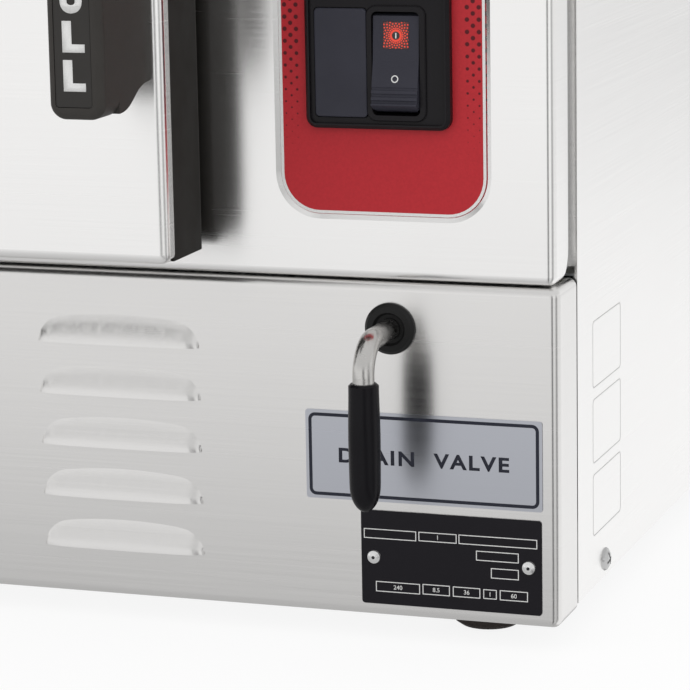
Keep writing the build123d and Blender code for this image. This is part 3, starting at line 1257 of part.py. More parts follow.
def rubber_feet():
    """Moulded bumpers with a recess for the screw."""
    radius, bore, recess = FOOT_RADIUS, SCREW_RADIUS + SEAT_GAP, SCREW_HEAD + 1.5
    outside = [(radius - 1, TRAY_FLOOR), (radius, TRAY_FLOOR - 2), (radius, 7), (radius - 2.2, 2)]
    inside = [(radius - 5, 0), (recess, 0), (recess, FOOT_LAND), (bore, FOOT_LAND)]
    profile = [(bore, TRAY_FLOOR), *outside, *inside]
    foot = revolve(Plane.XZ * make_face(Polyline(*profile, close=True)), Axis.Z)
    return [Pos(x, y, 0) * foot for x, y in foot_places()]


def foot_screws():
    head, end = FOOT_LAND - 2.8, TRAY_FLOOR + 6
    shank = [(SCREW_RADIUS, FOOT_LAND), (SCREW_RADIUS, end), (0, end)]
    profile = [(0, head), (SCREW_HEAD, head), (SCREW_HEAD, FOOT_LAND), *shank]
    screw = revolve(Plane.XZ * make_face(Polyline(*profile, close=True)), Axis.Z)
    return [Pos(x, y, 0) * screw for x, y in foot_places()]


def build():
    save("base_tray", base_tray())
    save("lower_front_panel", lower_front_panel())
    save("front_frame", front_frame())
    right = side_panel()
    save("right_side_panel", right)
    save("left_side_panel", mirror(right, about=Plane.YZ))
    save("top_panel", top_panel())
    save("back_panel", back_panel())
    save("deck_plate", deck_plate())
    cavity = whole_cavity()
    floor, roof = flat_limits((BASE, OPEN_BOTTOM + 1)), flat_limits((OPEN_TOP - 1, TOP))
    save("cavity_liner", cavity - floor - roof)
    save("sump_pan", cavity & floor)
    save("cavity_roof", cavity & roof)
    save("insulation_wrap", insulation_wrap())
    save("sump_heater", sump_heater())
    save("drain_strainer", drain_strainer())
    middle = Plane.YZ.offset(OPEN_MID_X)
    rack = pan_rack()
    save("pan_racks", rack, mirror(rack, about=middle))
    studs = rack_studs()
    save("rack_studs", *studs, *[mirror(stud, about=middle) for stud in studs])
    save("fan_guard", fan_guard())
    save("convection_fan", convection_fan())
    save("motor_shaft", motor_shaft())
    save("fan_motor", *fan_motor())
    save("door_skin", door_skin())
    save("door_frame", door_frame())
    save("door_core", door_core())
    save("door_liner", door_liner())
    save("door_gasket", door_gasket())
    save("handle_bracket", handle_bracket())
    save("handle_cover", handle_cover())
    save("handle_inset", handle_inset())
    save("hinge_brackets", *hinge_brackets())
    save("hinge_leaves", *hinge_leaves())
    save("hinge_pins", *hinge_pins())
    save("latch_catch", latch_catch(), *latch_rollers())
    save("latch_striker", latch_striker())
    save("graphic_overlay", graphic_overlay())
    save("switch_frame", switch_frame())
    save("power_rocker", power_rocker())
    save("rocker_lens", rocker_lens())
    save("blank_plug", blank_plug())
    save("switch_body", switch_body())
    save("timer_body", timer_body())
    save("timer_shaft", timer_shaft())
    save("timer_knob", timer_knob())
    save("ready_lamp", lamp(LAMP_PLACES[0]))
    save("cooking_lamp", lamp(LAMP_PLACES[1]))
    save("lever_grommet", lever_grommet())
    save("drain_lever_rod", drain_lever_rod())
    save("lever_grip", lever_grip())
    save("valve_body", valve_body())
    save("valve_gland", valve_gland())
    save("valve_plunger", valve_plunger())
    save("drain_feed_pipe", drain_feed_pipe())
    save("drain_outlet_pipe", drain_outlet_pipe())
    save("fill_valve", fill_valve())
    save("fill_tube", fill_tube())
    save("contactor", contactor())
    save("drain_label", drain_label())
    save("data_plate", data_plate())
    save("plate_rivets", *plate_rivets())
    save("case_screws", *case_screws(), *foot_screws())
    save("rubber_feet", *rubber_feet())


if __name__ == "__main__":
    build()
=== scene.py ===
import json
import math

import bmesh
import bpy
from mathutils import Matrix, Vector


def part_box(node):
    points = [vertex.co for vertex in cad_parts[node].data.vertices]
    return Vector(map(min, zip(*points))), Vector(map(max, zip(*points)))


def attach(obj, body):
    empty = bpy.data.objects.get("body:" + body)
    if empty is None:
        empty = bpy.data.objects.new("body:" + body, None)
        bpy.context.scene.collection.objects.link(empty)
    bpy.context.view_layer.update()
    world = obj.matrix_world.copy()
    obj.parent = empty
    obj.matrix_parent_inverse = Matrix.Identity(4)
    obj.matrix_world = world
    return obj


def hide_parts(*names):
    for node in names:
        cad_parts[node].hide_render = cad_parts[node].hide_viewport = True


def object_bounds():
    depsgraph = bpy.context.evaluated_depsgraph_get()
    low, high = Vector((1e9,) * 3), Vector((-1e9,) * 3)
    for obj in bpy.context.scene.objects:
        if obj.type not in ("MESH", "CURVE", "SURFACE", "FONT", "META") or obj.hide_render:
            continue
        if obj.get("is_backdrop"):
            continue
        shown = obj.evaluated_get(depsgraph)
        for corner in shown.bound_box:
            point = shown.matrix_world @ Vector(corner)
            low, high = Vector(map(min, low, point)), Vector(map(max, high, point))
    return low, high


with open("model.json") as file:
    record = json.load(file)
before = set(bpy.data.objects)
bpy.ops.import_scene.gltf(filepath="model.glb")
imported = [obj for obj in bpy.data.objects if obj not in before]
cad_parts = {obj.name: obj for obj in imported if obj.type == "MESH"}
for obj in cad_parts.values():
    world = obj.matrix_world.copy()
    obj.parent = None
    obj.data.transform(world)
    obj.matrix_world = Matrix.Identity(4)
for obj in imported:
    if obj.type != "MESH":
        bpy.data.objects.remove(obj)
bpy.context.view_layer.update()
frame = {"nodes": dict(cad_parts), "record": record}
nodes = frame["nodes"]
MM = 0.001

# Camera of the photograph: a long lens in front of the right side, level with the upper part of the door and
# looking down at the lower right front corner. Angles are in degrees.
PHOTO_SIDE = 690
FOCAL_PIXELS = 3226
SENSOR = 36.0
CLIP_NEAR, CLIP_FAR = 0.05, 50.0
CAMERA_AT = (0.6665, -1.6409, 0.4192)
YAW, PITCH, ROLL = 19.16, 11.44, -1.04


def camera_rotation():
    """Turn about the upright, then tip down, then lean, as a rotation of the camera's axes."""
    cy, sy = math.cos(math.radians(YAW)), math.sin(math.radians(YAW))
    cp, sp = math.cos(math.radians(PITCH)), math.sin(math.radians(PITCH))
    cr, sr = math.cos(math.radians(ROLL)), math.sin(math.radians(ROLL))
    turn = Matrix(((cy, sy, 0), (-sy, cy, 0), (0, 0, 1)))
    axes = Matrix(((1, 0, 0), (0, 0, -1), (0, 1, 0)))
    tip = Matrix(((1, 0, 0), (0, cp, -sp), (0, sp, cp)))
    lean = Matrix(((cr, -sr, 0), (sr, cr, 0), (0, 0, 1)))
    seen = lean @ tip @ axes @ turn
    return Matrix((seen[0], -seen[1], -seen[2])).transposed()


camera_data = bpy.data.cameras.new("camera")
camera_data.sensor_width = SENSOR
camera_data.lens = FOCAL_PIXELS / PHOTO_SIDE * SENSOR
camera_data.clip_start, camera_data.clip_end = CLIP_NEAR, CLIP_FAR
camera = bpy.data.objects.new("camera", camera_data)
camera.matrix_world = Matrix.Translation(CAMERA_AT) @ camera_rotation().to_4x4()
bpy.context.collection.objects.link(camera)
bpy.context.scene.camera = camera
bpy.context.scene.view_settings.view_transform = "Standard"


# Materials
ALONG_GRAIN = 7.0  # noise cells a metre along the brushing
ACROSS_GRAIN, ACROSS_FINE = 1100.0, 3600.0  # and across it, for the lines and for the fine scratches
LEVEL_SHEET = 0.7  # upward part of the normal from which a sheet counts as level
CLOUDS, METAL_PATCHES, PLASTIC_PATCHES = 9.0, 35.0, 60.0  # scales of slow changes over a surface
LINES, SCRATCHES, BRUSHED, CLOUDED = 0.55, 0.45, 0.8, 0.2  # shares in the tone of brushed steel
ANISOTROPY, ANISOTROPY_TURN = 0.8, 0.25
NOISE_LOW, NOISE_HIGH = 0.3, 0.7  # where most of a noise texture lies
EVEN, WORN = (0.9, 1.12), (0.8, 1.3)  # factors on the roughness, from its smoothest to its roughest places
MIX_A, MIX_B, MIX_RESULT = 6, 7, 2  # sockets of the Mix node that carry colour


def shade(colour, factor):
    return tuple(min(1.0, c * factor) for c in colour)


class Nodes:
    """Short names for building one node tree."""

    def __init__(self, name=None, tree=None):
        if tree is None:
            self.material = bpy.data.materials.new(name)
            self.material.use_nodes = True
            tree = self.material.node_tree
            self.shader = tree.nodes["Principled BSDF"]
        self.tree = tree

    def add(self, kind, **values):
        node = self.tree.nodes.new(kind)
        for key, value in values.items():
            if hasattr(node, key):
                setattr(node, key, value)
            else:
                node.inputs[key].default_value = value
        return node

    def link(self, source, target):
        self.tree.links.new(source, target)

    def math(self, operation, a, b=None):
        node = self.add("ShaderNodeMath", operation=operation)
        for socket, value in zip(node.inputs, (a, b)):
            if value is None:
                continue
            if isinstance(value, (int, float)):
                socket.default_value = value
            else:
                self.link(value, socket)
        return node.outputs[0]

    def split(self, vector):
        node = self.add("ShaderNodeSeparateXYZ")
        self.link(vector, node.inputs["Vector"])
        return node.outputs["X"], node.outputs["Y"], node.outputs["Z"]

    def place(self, scale=(1, 1, 1)):
        """Object coordinates in metres, stretched by the scale."""
        coordinates = self.add("ShaderNodeTexCoord")
        mapping = self.add("ShaderNodeMapping", Scale=scale)
        self.link(coordinates.outputs["Object"], mapping.inputs["Vector"])
        return mapping.outputs["Vector"]

    def grain(self, across):
        """Coordinates that change slowly along the brushing and quickly across it, also on level sheets."""
        coordinates = self.add("ShaderNodeTexCoord")
        x, y, z = self.split(coordinates.outputs["Object"])
        upward = self.math("ABSOLUTE", self.split(coordinates.outputs["Normal"])[2])
        level = self.math("GREATER_THAN", upward, LEVEL_SHEET)
        in_depth = self.math("ADD", self.math("MULTIPLY", level, across), ALONG_GRAIN)
        joined = self.add("ShaderNodeCombineXYZ")
        self.link(self.math("MULTIPLY", x, ALONG_GRAIN), joined.inputs["X"])
        self.link(self.math("MULTIPLY", y, in_depth), joined.inputs["Y"])
        self.link(self.math("MULTIPLY", z, across), joined.inputs["Z"])
        return joined.outputs["Vector"]

    def noise(self, scale, vector=None, detail=3.0, rough=0.5):
        texture = self.add("ShaderNodeTexNoise", Scale=scale, Detail=detail, Roughness=rough)
        self.link(vector or self.place(), texture.inputs["Vector"])
        return texture.outputs["Fac"]

    def spread(self, source, low, high, start=NOISE_LOW, end=NOISE_HIGH):
        node = self.add("ShaderNodeMapRange")
        for socket, value in zip(("From Min", "From Max", "To Min", "To Max"), (start, end, low, high)):
            node.inputs[socket].default_value = value
        self.link(source, node.inputs["Value"])
        return node.outputs["Result"]

    def ramp(self, source, stops):
        """Colour ramp through stops of place and colour."""
        node = self.add("ShaderNodeValToRGB")
        elements = node.color_ramp.elements
        while len(elements) < len(stops):
            elements.new(0.5)
        for element, (place, colour) in zip(elements, sorted(stops)):
            element.position = place
            element.color = (*colour, 1)
        self.link(source, node.inputs["Fac"])
        return node.outputs["Color"]

    def tint(self, source, dark, light):
        return self.ramp(source, [(NOISE_LOW, dark), (NOISE_HIGH, light)])

    def base(self, source, colour, dark, light):
        """Base colour that follows the source between a darker and a lighter factor of one colour."""
        tinted = self.tint(source, shade(colour, dark), shade(colour, light))
        self.link(tinted, self.shader.inputs["Base Color"])

    def uneven(self, source, rough, factors):
        """Roughness that follows the source between two factors."""
        low, high = (rough * factor for factor in factors)
        self.link(self.spread(source, low, high), self.shader.inputs["Roughness"])

    def mix(self, factor, a, b):
        node = self.add("ShaderNodeMix", data_type="RGBA")
        for key, value in (("Factor", factor), (MIX_A, a), (MIX_B, b)):
            socket = node.inputs[key]
            if isinstance(value, (int, float)):
                socket.default_value = value
            elif isinstance(value, tuple):
                socket.default_value = (*value, 1)
            else:
                self.link(value, socket)
        return node.outputs[MIX_RESULT]

    def mix_shader(self, factor, a, b):
        node = self.add("ShaderNodeMixShader")
        if isinstance(factor, float):
            node.inputs["Fac"].default_value = factor
        else:
            self.link(factor, node.inputs["Fac"])
        self.link(a, node.inputs[1])
        self.link(b, node.inputs[2])
        return node.outputs["Shader"]

    def bump(self, source, strength, distance):
        node = self.add("ShaderNodeBump", Strength=strength, Distance=distance)
        self.link(source, node.inputs["Height"])
        self.link(node.outputs["Normal"], self.shader.inputs["Normal"])

    def set(self, **values):
        for key, value in values.items():
            self.shader.inputs[key.replace("_", " ")].default_value = value


def steel(name, colour, rough, contrast=0.035, bump=0.02):
    """Brushed sheet: fine level lines, soft clouds, and reflections that smear across the brushing."""
    n = Nodes(name)
    lines = n.noise(1.0, n.grain(ACROSS_GRAIN), detail=3.0, rough=0.6)
    fine = n.noise(1.0, n.grain(ACROSS_FINE), detail=2.0)
    both = n.math("ADD", n.math("MULTIPLY", lines, LINES), n.math("MULTIPLY", fine, SCRATCHES))
    clouds = n.noise(CLOUDS, detail=2.0)
    tone = n.math("ADD", n.math("MULTIPLY", both, BRUSHED), n.math("MULTIPLY", clouds, CLOUDED))
    n.base(tone, colour, 1 - contrast, 1 + contrast)
    n.uneven(both, rough, EVEN)
    n.bump(both, bump, 0.2 * MM)
    n.set(Metallic=1.0, Anisotropic=ANISOTROPY, Anisotropic_Rotation=ANISOTROPY_TURN)
    tangent = n.add("ShaderNodeTangent", direction_type="RADIAL", axis="Z")
    n.link(tangent.outputs["Tangent"], n.shader.inputs["Tangent"])
    return n.material


def metal(name, colour, rough, grain=400.0, contrast=0.06):
    """Plain or plated metal with faint tool marks and worn patches."""
    n = Nodes(name)
    marks = n.noise(grain, detail=4.0)
    patches = n.noise(METAL_PATCHES, detail=3.0)
    n.base(patches, colour, 1 - contrast, 1 + contrast)
    n.uneven(marks, rough, WORN)
    n.bump(marks, 0.04, 0.1 * MM)
    n.set(Metallic=1.0)
    return n.material


def moulded(name, colour, rough, grain=2600.0, bump=0.12, contrast=0.08, specular=0.15):
    """Moulded plastic or rubber: fine spark-eroded grain and slightly uneven gloss."""
    n = Nodes(name)
    grains = n.noise(grain, detail=2.0)
    patches = n.noise(PLASTIC_PATCHES, detail=3.0)
    n.base(patches, colour, 1 - contrast, 1 + contrast)
    n.uneven(patches, rough, EVEN)
    n.bump(grains, bump, 0.1 * MM)
    n.set(Specular_IOR_Level=specular)
    return n.material


def lens(name, colour, glow):
    """Clear coloured lens with faint flow lines."""
    n = Nodes(name)
    flow = n.noise(300.0, detail=2.0)
    n.base(flow, colour, 0.85, 1.1)
    n.bump(flow, 0.03, 0.1 * MM)
    n.set(Roughness=0.12, Transmission_Weight=0.35, Coat_Weight=0.5)
    n.set(Emission_Color=(*colour, 1), Emission_Strength=glow)
    return n.material


def printed(name, colour, rough=0.35, specular=0.2):
    """Ink or paint with a trace of tooth."""
    n = Nodes(name)
    specks = n.noise(1800.0, detail=1.0)
    n.base(specks, colour, 0.94, 1.04)
    n.bump(specks, 0.03, 0.05 * MM)
    n.set(Roughness=rough, Specular_IOR_Level=specular)
    return n.material


BORDER = 1.3 * MM  # width of the white line round the red panel


def overlay_print(name):
    """Satin red print. Three staggered columns of dark dots run along both edges and shrink toward the foot."""
    low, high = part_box("graphic_overlay")
    n = Nodes(name)
    red = (0.445, 0.022, 0.030)
    dark = (0.045, 0.006, 0.009)
    pitch, first, columns = 5.3 * MM, 1.5 * MM, 3
    widest, foot, full, soft_rim = 1.05 * MM, low.z + 22 * MM, low.z + 78 * MM, (0.15 * MM, 0.25 * MM)
    x, _, z = n.split(n.add("ShaderNodeTexCoord").outputs["Object"])
    from_left = n.math("SUBTRACT", x, low.x + BORDER)
    from_right = n.math("SUBTRACT", high.x - BORDER, x)
    edge = n.math("SUBTRACT", n.math("MINIMUM", from_left, from_right), first)
    distance = None
    for operation in ("ADD", "SUBTRACT"):
        turns = n.math("ADD", n.math("DIVIDE", n.math(operation, edge, z), pitch), 0.5)
        away = n.math("SUBTRACT", n.math("FRACT", turns), 0.5)
        square = n.math("MULTIPLY", away, away)
        distance = n.math("ADD", distance, square) if distance else square
    distance = n.math("MULTIPLY", n.math("SQRT", distance), pitch / math.sqrt(2))
    inside = n.math("LESS_THAN", edge, (columns - 0.5) * pitch / 2)
    radius = n.spread(z, 0.0, widest, start=foot, end=full)
    rim = n.math("SUBTRACT", radius, distance)
    dot = n.math("MULTIPLY", n.spread(rim, 0.0, 0.9, start=-soft_rim[0], end=soft_rim[1]), inside)
    mottle = n.noise(900.0, detail=2.0)
    ground = n.tint(mottle, shade(red, 0.95), shade(red, 1.05))
    n.link(n.mix(dot, ground, dark), n.shader.inputs["Base Color"])
    n.bump(mottle, 0.05, 0.08 * MM)
    n.set(Roughness=0.42, Specular_IOR_Level=0.2)
    return n.material


def lens_burst(name):
    """Red switch lens: rings of lit facets round a dark middle, on a deep red ground."""
    low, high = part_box("rocker_lens")
    centre_x, centre_z = (low.x + high.x) / 2, (low.z + high.z) / 2
    n = Nodes(name)
    x, _, z = n.split(n.add("ShaderNodeTexCoord").outputs["Object"])
    x, z = n.math("SUBTRACT", x, centre_x), n.math("SUBTRACT", z, centre_z)
    radius = n.math("SQRT", n.math("ADD", n.math("MULTIPLY", x, x), n.math("MULTIPLY", z, z)))
    spokes, step, first, facet_radius = 22, 1.0 * MM, 3.2 * MM, 0.36 * MM
    hoop_radius, hoop_half, dark_radius = 2.25 * MM, 0.45 * MM, 1.6 * MM
    whole_turns = 50.0  # keeps the angle above nought before its fraction is taken
    ring = n.math("ADD", n.math("DIVIDE", n.math("SUBTRACT", radius, first), step), 0.5)
    radial = n.math("MULTIPLY", n.math("SUBTRACT", n.math("FRACT", ring), 0.5), step)
    turns = n.math("MULTIPLY", n.math("ARCTAN2", z, x), spokes / math.tau)
    turns = n.math("ADD", turns, n.math("MULTIPLY", n.math("FLOOR", ring), 0.5))
    around = n.math("SUBTRACT", n.math("FRACT", n.math("ADD", turns, whole_turns)), 0.5)
    around = n.math("MULTIPLY", n.math("MULTIPLY", around, math.tau / spokes), radius)
    squares = n.math("ADD", n.math("MULTIPLY", radial, radial), n.math("MULTIPLY", around, around))
    facet = n.math("LESS_THAN", n.math("SQRT", squares), facet_radius)
    outside = n.math("GREATER_THAN", radius, first - step / 2)
    hoop = n.math("LESS_THAN", n.math("ABSOLUTE", n.math("SUBTRACT", radius, hoop_radius)), hoop_half)
    lit = n.math("MAXIMUM", n.math("MULTIPLY", facet, outside), hoop)
    middle = n.math("LESS_THAN", radius, dark_radius)
    ground = n.mix(middle, (0.075, 0.008, 0.006), (0.008, 0.004, 0.004))
    colour = n.mix(lit, ground, (0.72, 0.045, 0.015))
    n.link(colour, n.shader.inputs["Base Color"])
    n.link(n.mix(lit, (0.0, 0.0, 0.0), (0.30, 0.012, 0.004)), n.shader.inputs["Emission Color"])
    n.set(Emission_Strength=0.6, Roughness=0.3, Coat_Weight=0.3, Coat_Roughness=0.2)
    return n.material


def blanket_wool(name):
    """Mineral wool: matted fibres and soft lumps."""
    pale, deep = (0.86, 0.82, 0.68), (0.62, 0.56, 0.40)
    n = Nodes(name)
    fibres = n.noise(700.0, n.place((1, 1, 0.3)), detail=6.0, rough=0.7)
    n.link(n.tint(fibres, deep, pale), n.shader.inputs["Base Color"])
    n.bump(fibres, 0.6, 1.0 * MM)
    n.set(Roughness=0.95, Sheen_Weight=0.3)
    return n.material


# Each material slot of the record with its finish: colour, roughness and what departs from the usual
MAKE = {
    "case_steel": lambda slot: steel(slot, (0.915, 0.908, 0.90), 0.25),
    "tray_steel": lambda slot: metal(slot, (0.58, 0.59, 0.60), 0.42, grain=90.0, contrast=0.14),
    "cavity_steel": lambda slot: steel(slot, (0.72, 0.72, 0.71), 0.34, contrast=0.07),
    "wire_steel": lambda slot: metal(slot, (0.76, 0.76, 0.76), 0.2),
    "rod_steel": lambda slot: metal(slot, (0.60, 0.59, 0.575), 0.22),
    "element_steel": lambda slot: metal(slot, (0.30, 0.27, 0.25), 0.5, contrast=0.25),
    "fan_metal": lambda slot: metal(slot, (0.74, 0.74, 0.75), 0.34),
    "motor_paint": lambda slot: moulded(slot, (0.03, 0.03, 0.033), 0.4, grain=900.0),
    "blanket": blanket_wool,
    "door_black": lambda slot: moulded(slot, (0.020, 0.0185, 0.0165), 0.55, specular=0.1),
    "handle_black": lambda slot: moulded(slot, (0.040, 0.037, 0.034), 0.5, bump=0.3),
    "inset_grey": lambda slot: moulded(slot, (0.036, 0.034, 0.032), 0.42, bump=0.2),
    "gasket_rubber": lambda slot: moulded(slot, (0.05, 0.05, 0.05), 0.6),
    "grommet_rubber": lambda slot: moulded(slot, (0.014, 0.014, 0.014), 0.42),
    "grip_vinyl": lambda slot: moulded(slot, (0.0065, 0.006, 0.0075), 0.24, bump=0.06, specular=0.12),
    "foot_rubber": lambda slot: moulded(slot, (0.055, 0.046, 0.042), 0.7, grain=1500.0, bump=0.3),
    "overlay_red": overlay_print,
    "switch_black": lambda slot: moulded(slot, (0.010, 0.009, 0.0105), 0.34, bump=0.1),
    "plug_grey": lambda slot: moulded(slot, (0.036, 0.036, 0.048), 0.42, bump=0.2),
    "lens_red": lens_burst,
    "lamp_green": lambda slot: lens(slot, (0.05, 0.42, 0.12), 0.15),
    "lamp_amber": lambda slot: lens(slot, (0.85, 0.33, 0.03), 0.15),
    "knob_black": lambda slot: moulded(slot, (0.016, 0.016, 0.017), 0.38),
    "brass_cast": lambda slot: metal(slot, (0.62, 0.46, 0.22), 0.4, grain=700.0, contrast=0.12),
    "copper_tube": lambda slot: metal(slot, (0.72, 0.40, 0.26), 0.28, contrast=0.12),
    "pipe_steel": lambda slot: metal(slot, (0.22, 0.22, 0.23), 0.5, contrast=0.2),
    "valve_plastic": lambda slot: moulded(slot, (0.62, 0.62, 0.60), 0.45),
    "seal_rubber": lambda slot: moulded(slot, (0.08, 0.08, 0.08), 0.7),
    "label_silver": lambda slot: steel(slot, (0.52, 0.535, 0.585), 0.3, contrast=0.02, bump=0.01),
    "plate_black": lambda slot: printed(slot, (0.010, 0.009, 0.012), 0.3, specular=0.15),
    "rivet_metal": lambda slot: metal(slot, (0.86, 0.86, 0.86), 0.24),
    "screw_steel": lambda slot: metal(slot, (0.52, 0.52, 0.52), 0.2),
    "hinge_steel": lambda slot: steel(slot, (0.70, 0.70, 0.70), 0.3),
}
materials = {slot: make(slot) for slot, make in MAKE.items()}
for row in frame["record"]["subparts"]:
    mesh = nodes[row["node"]].data
    mesh.materials.clear()
    mesh.materials.append(materials[row["material_slot"]])
# In the photograph the rocker is as grey as the plug, and the lower panel darker than the rest of the case: the
# panel gets a darker copy of the case steel, which is painted shade
nodes["power_rocker"].data.materials[0] = materials["plug_grey"]
nodes["lower_front_panel"].data.materials[0] = steel("lower_steel_painted_shade", (0.80, 0.79, 0.78), 0.25)


# Helpers for the pieces that are drawn here, in millimetres
PRINT = 0.05  # thickness of printed lines and words
SUNK = 0.02  # how far a mark's back lies inside what carries it
SHARP = 0.05  # least radius of a printed corner
WELD = 1e-6


def box_mm(node):
    low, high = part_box(node)
    return [v / MM for v in low], [v / MM for v in high]


def centre_mm(node):
    """Across and up."""
    low, high = box_mm(node)
    return (low[0] + high[0]) / 2, (low[2] + high[2]) / 2


def finish_piece(mesh_object, material, body, replaces=()):
    mesh_object.data.materials.clear()
    mesh_object.data.materials.append(material)
    if mesh_object.name not in bpy.context.scene.collection.all_objects:
        bpy.context.scene.collection.objects.link(mesh_object)
    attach(mesh_object, body)
    if replaces:
        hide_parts(*replaces)


def mesh_from(name, vertices, faces):
    mesh = bpy.data.meshes.new(name)
    mesh.from_pydata([tuple(c * MM for c in v) for v in vertices], [], faces)
    mesh.update()
    return bpy.data.objects.new(name, mesh)


def rounded_outline(x, z, radius, steps=10):
    """Corners of an upright rounded rectangle, counter-clockwise seen from the front."""
    points = []
    for cx, cz, start in ((x[1], z[1], 0), (x[0], z[1], 90), (x[0], z[0], 180), (x[1], z[0], 270)):
        mx = cx - radius if start in (0, 270) else cx + radius
        mz = cz - radius if start in (0, 90) else cz + radius
        for step in range(steps + 1):
            angle = math.radians(start + 90 * step / steps)
            points.append((mx + radius * math.cos(angle), mz + radius * math.sin(angle)))
    return points


def raised(name, outlines, back, front, holes=()):
    """Upright plates between two depths, one for each outline, each with its hole where holes are given."""
    vertices, faces = [], []
    for number, outline in enumerate(outlines):
        hole = holes[number] if holes else None
        count, start = len(outline), len(vertices)
        rings = [(outline, front), (outline, back)] + ([(hole, front), (hole, back)] if hole else [])
        for ring, y in rings:
            vertices += [(x, y, z) for x, z in ring]
        a, b, c, d = (start + count * k for k in range(4))
        for i in range(count):
            j = (i + 1) % count
            faces.append((a + j, a + i, b + i, b + j))
            if hole:
                faces.append((a + i, a + j, c + j, c + i))
                faces.append((b + j, b + i, d + i, d + j))
                faces.append((c + i, c + j, d + j, d + i))
        if not hole:
            faces.append(tuple(range(a, a + count)))
            faces.append(tuple(range(b + count - 1, b - 1, -1)))
    return mesh_from(name, vertices, faces)


def frames(name, boxes, radius, width, face):
    """Flat printed frames of even width on a face, one round the inside of each box."""
    outlines, holes = [], []
    for x, z in boxes:
        outlines.append(rounded_outline(x, z, radius))
        inner_x, inner_z = (x[0] + width, x[1] - width), (z[0] + width, z[1] - width)
        holes.append(rounded_outline(inner_x, inner_z, max(radius - width, SHARP)))
    return raised(name, outlines, face, face - PRINT, holes)


def text_mesh(name, words, x, y, z, height, width=None, bold=0.0, depth=0.12, spacing=1.0):
    """Plain sans lettering, upright and facing the front: its middle at x, its foot at z."""
    curve = bpy.data.curves.new(name, "FONT")
    curve.body = words
    curve.align_x = "CENTER"
    curve.offset = bold
    curve.space_character = spacing
    source = bpy.data.objects.new(name, curve)
    bpy.context.scene.collection.objects.link(source)
    bpy.context.view_layer.update()
    mesh = bpy.data.meshes.new_from_object(source.evaluated_get(bpy.context.evaluated_depsgraph_get()))
    bpy.data.objects.remove(source)
    tall = max(v.co.y for v in mesh.vertices) - min(v.co.y for v in mesh.vertices)
    wide = max(v.co.x for v in mesh.vertices) - min(v.co.x for v in mesh.vertices)
    foot = min(v.co.y for v in mesh.vertices)
    sy = height / tall
    sx = width / wide if width else sy
    for v in mesh.vertices:
        v.co = Vector((x + v.co.x * sx, y, z + (v.co.y - foot) * sy)) * MM
    work = bmesh.new()
    work.from_mesh(mesh)
    bmesh.ops.remove_doubles(work, verts=work.verts, dist=WELD)
    made = bmesh.ops.extrude_face_region(work, geom=work.faces[:])
    moved = [g for g in made["geom"] if isinstance(g, bmesh.types.BMVert)]
    bmesh.ops.translate(work, verts=moved, vec=(0, depth * MM, 0))
    bmesh.ops.recalc_face_normals(work, faces=work.faces)
    work.to_mesh(mesh)
    work.free()
    return bpy.data.objects.new(name, mesh)


def joined(name, parts):
    """One mesh from several objects that have no transform."""
    work = bmesh.new()
    for part in parts:
        work.from_mesh(part.data)
        bpy.data.objects.remove(part)
    mesh = bpy.data.meshes.new(name)
    work.to_mesh(mesh)
    work.free()
    return bpy.data.objects.new(name, mesh)


ink_white = printed("ink_white", (0.72, 0.72, 0.71), 0.45)
# Black for the centre holes of the plate's rivets: painted shade
hole_shade_black = printed("hole_shade_black", (0.018, 0.018, 0.021), 0.35)
ink_navy = printed("ink_navy", (0.020, 0.022, 0.034), 0.4)


def circle(x, z, radius, steps=24):
    angles = [math.tau * k / steps for k in range(steps)]
    return [(x + radius * math.cos(angle), z + radius * math.sin(angle)) for angle in angles]


def laid_on(node, piece, at, lift=0.06, ahead=-800):
    """Turns a flat piece, drawn round the origin, onto the node's face that is nearest the front at a point."""
    x, z = at
    hit, where, normal, _ = nodes[node].ray_cast(Vector((x, ahead, z)) * MM, Vector((0, 1, 0)))
    if not hit:
        raise SystemExit(f"{node} has no front at {at}")
    across = Vector((1, 0, 0))
    across = (across - normal * across.dot(normal)).normalized()
    up = across.cross(-normal)
    turn = Matrix((across, -normal, up)).transposed()
    for vertex in piece.data.vertices:
        vertex.co = turn @ vertex.co + where + normal * lift * MM
    return piece


# Handle lettering: one word, its letters stacked
WORD, LETTER_SIZE, LETTER_PITCH, LETTER_MARGIN, LETTER_PROUD = "PULL", (13.1, 10.0), 16.2, 6.6, 0.1
low, high = box_mm("handle_inset")
middle, _ = centre_mm("handle_inset")
letters = []
for number, letter in enumerate(WORD):
    foot = low[2] + LETTER_MARGIN + LETTER_PITCH * (len(WORD) - 1 - number)
    front = low[1] - LETTER_PROUD
    letters.append(text_mesh(f"letter_{number}", letter, middle, front, foot, *LETTER_SIZE, bold=0.062))
finish_piece(joined("handle_letters", letters), ink_white, "door")

# Border of the red panel
OVERLAY_CORNER = 17.6
low, high = box_mm("graphic_overlay")
face = low[1]
box = (low[0], high[0]), (low[2], high[2])
border = frames("overlay_border", [box], OVERLAY_CORNER, BORDER / MM, face)
finish_piece(border, ink_white, "case")

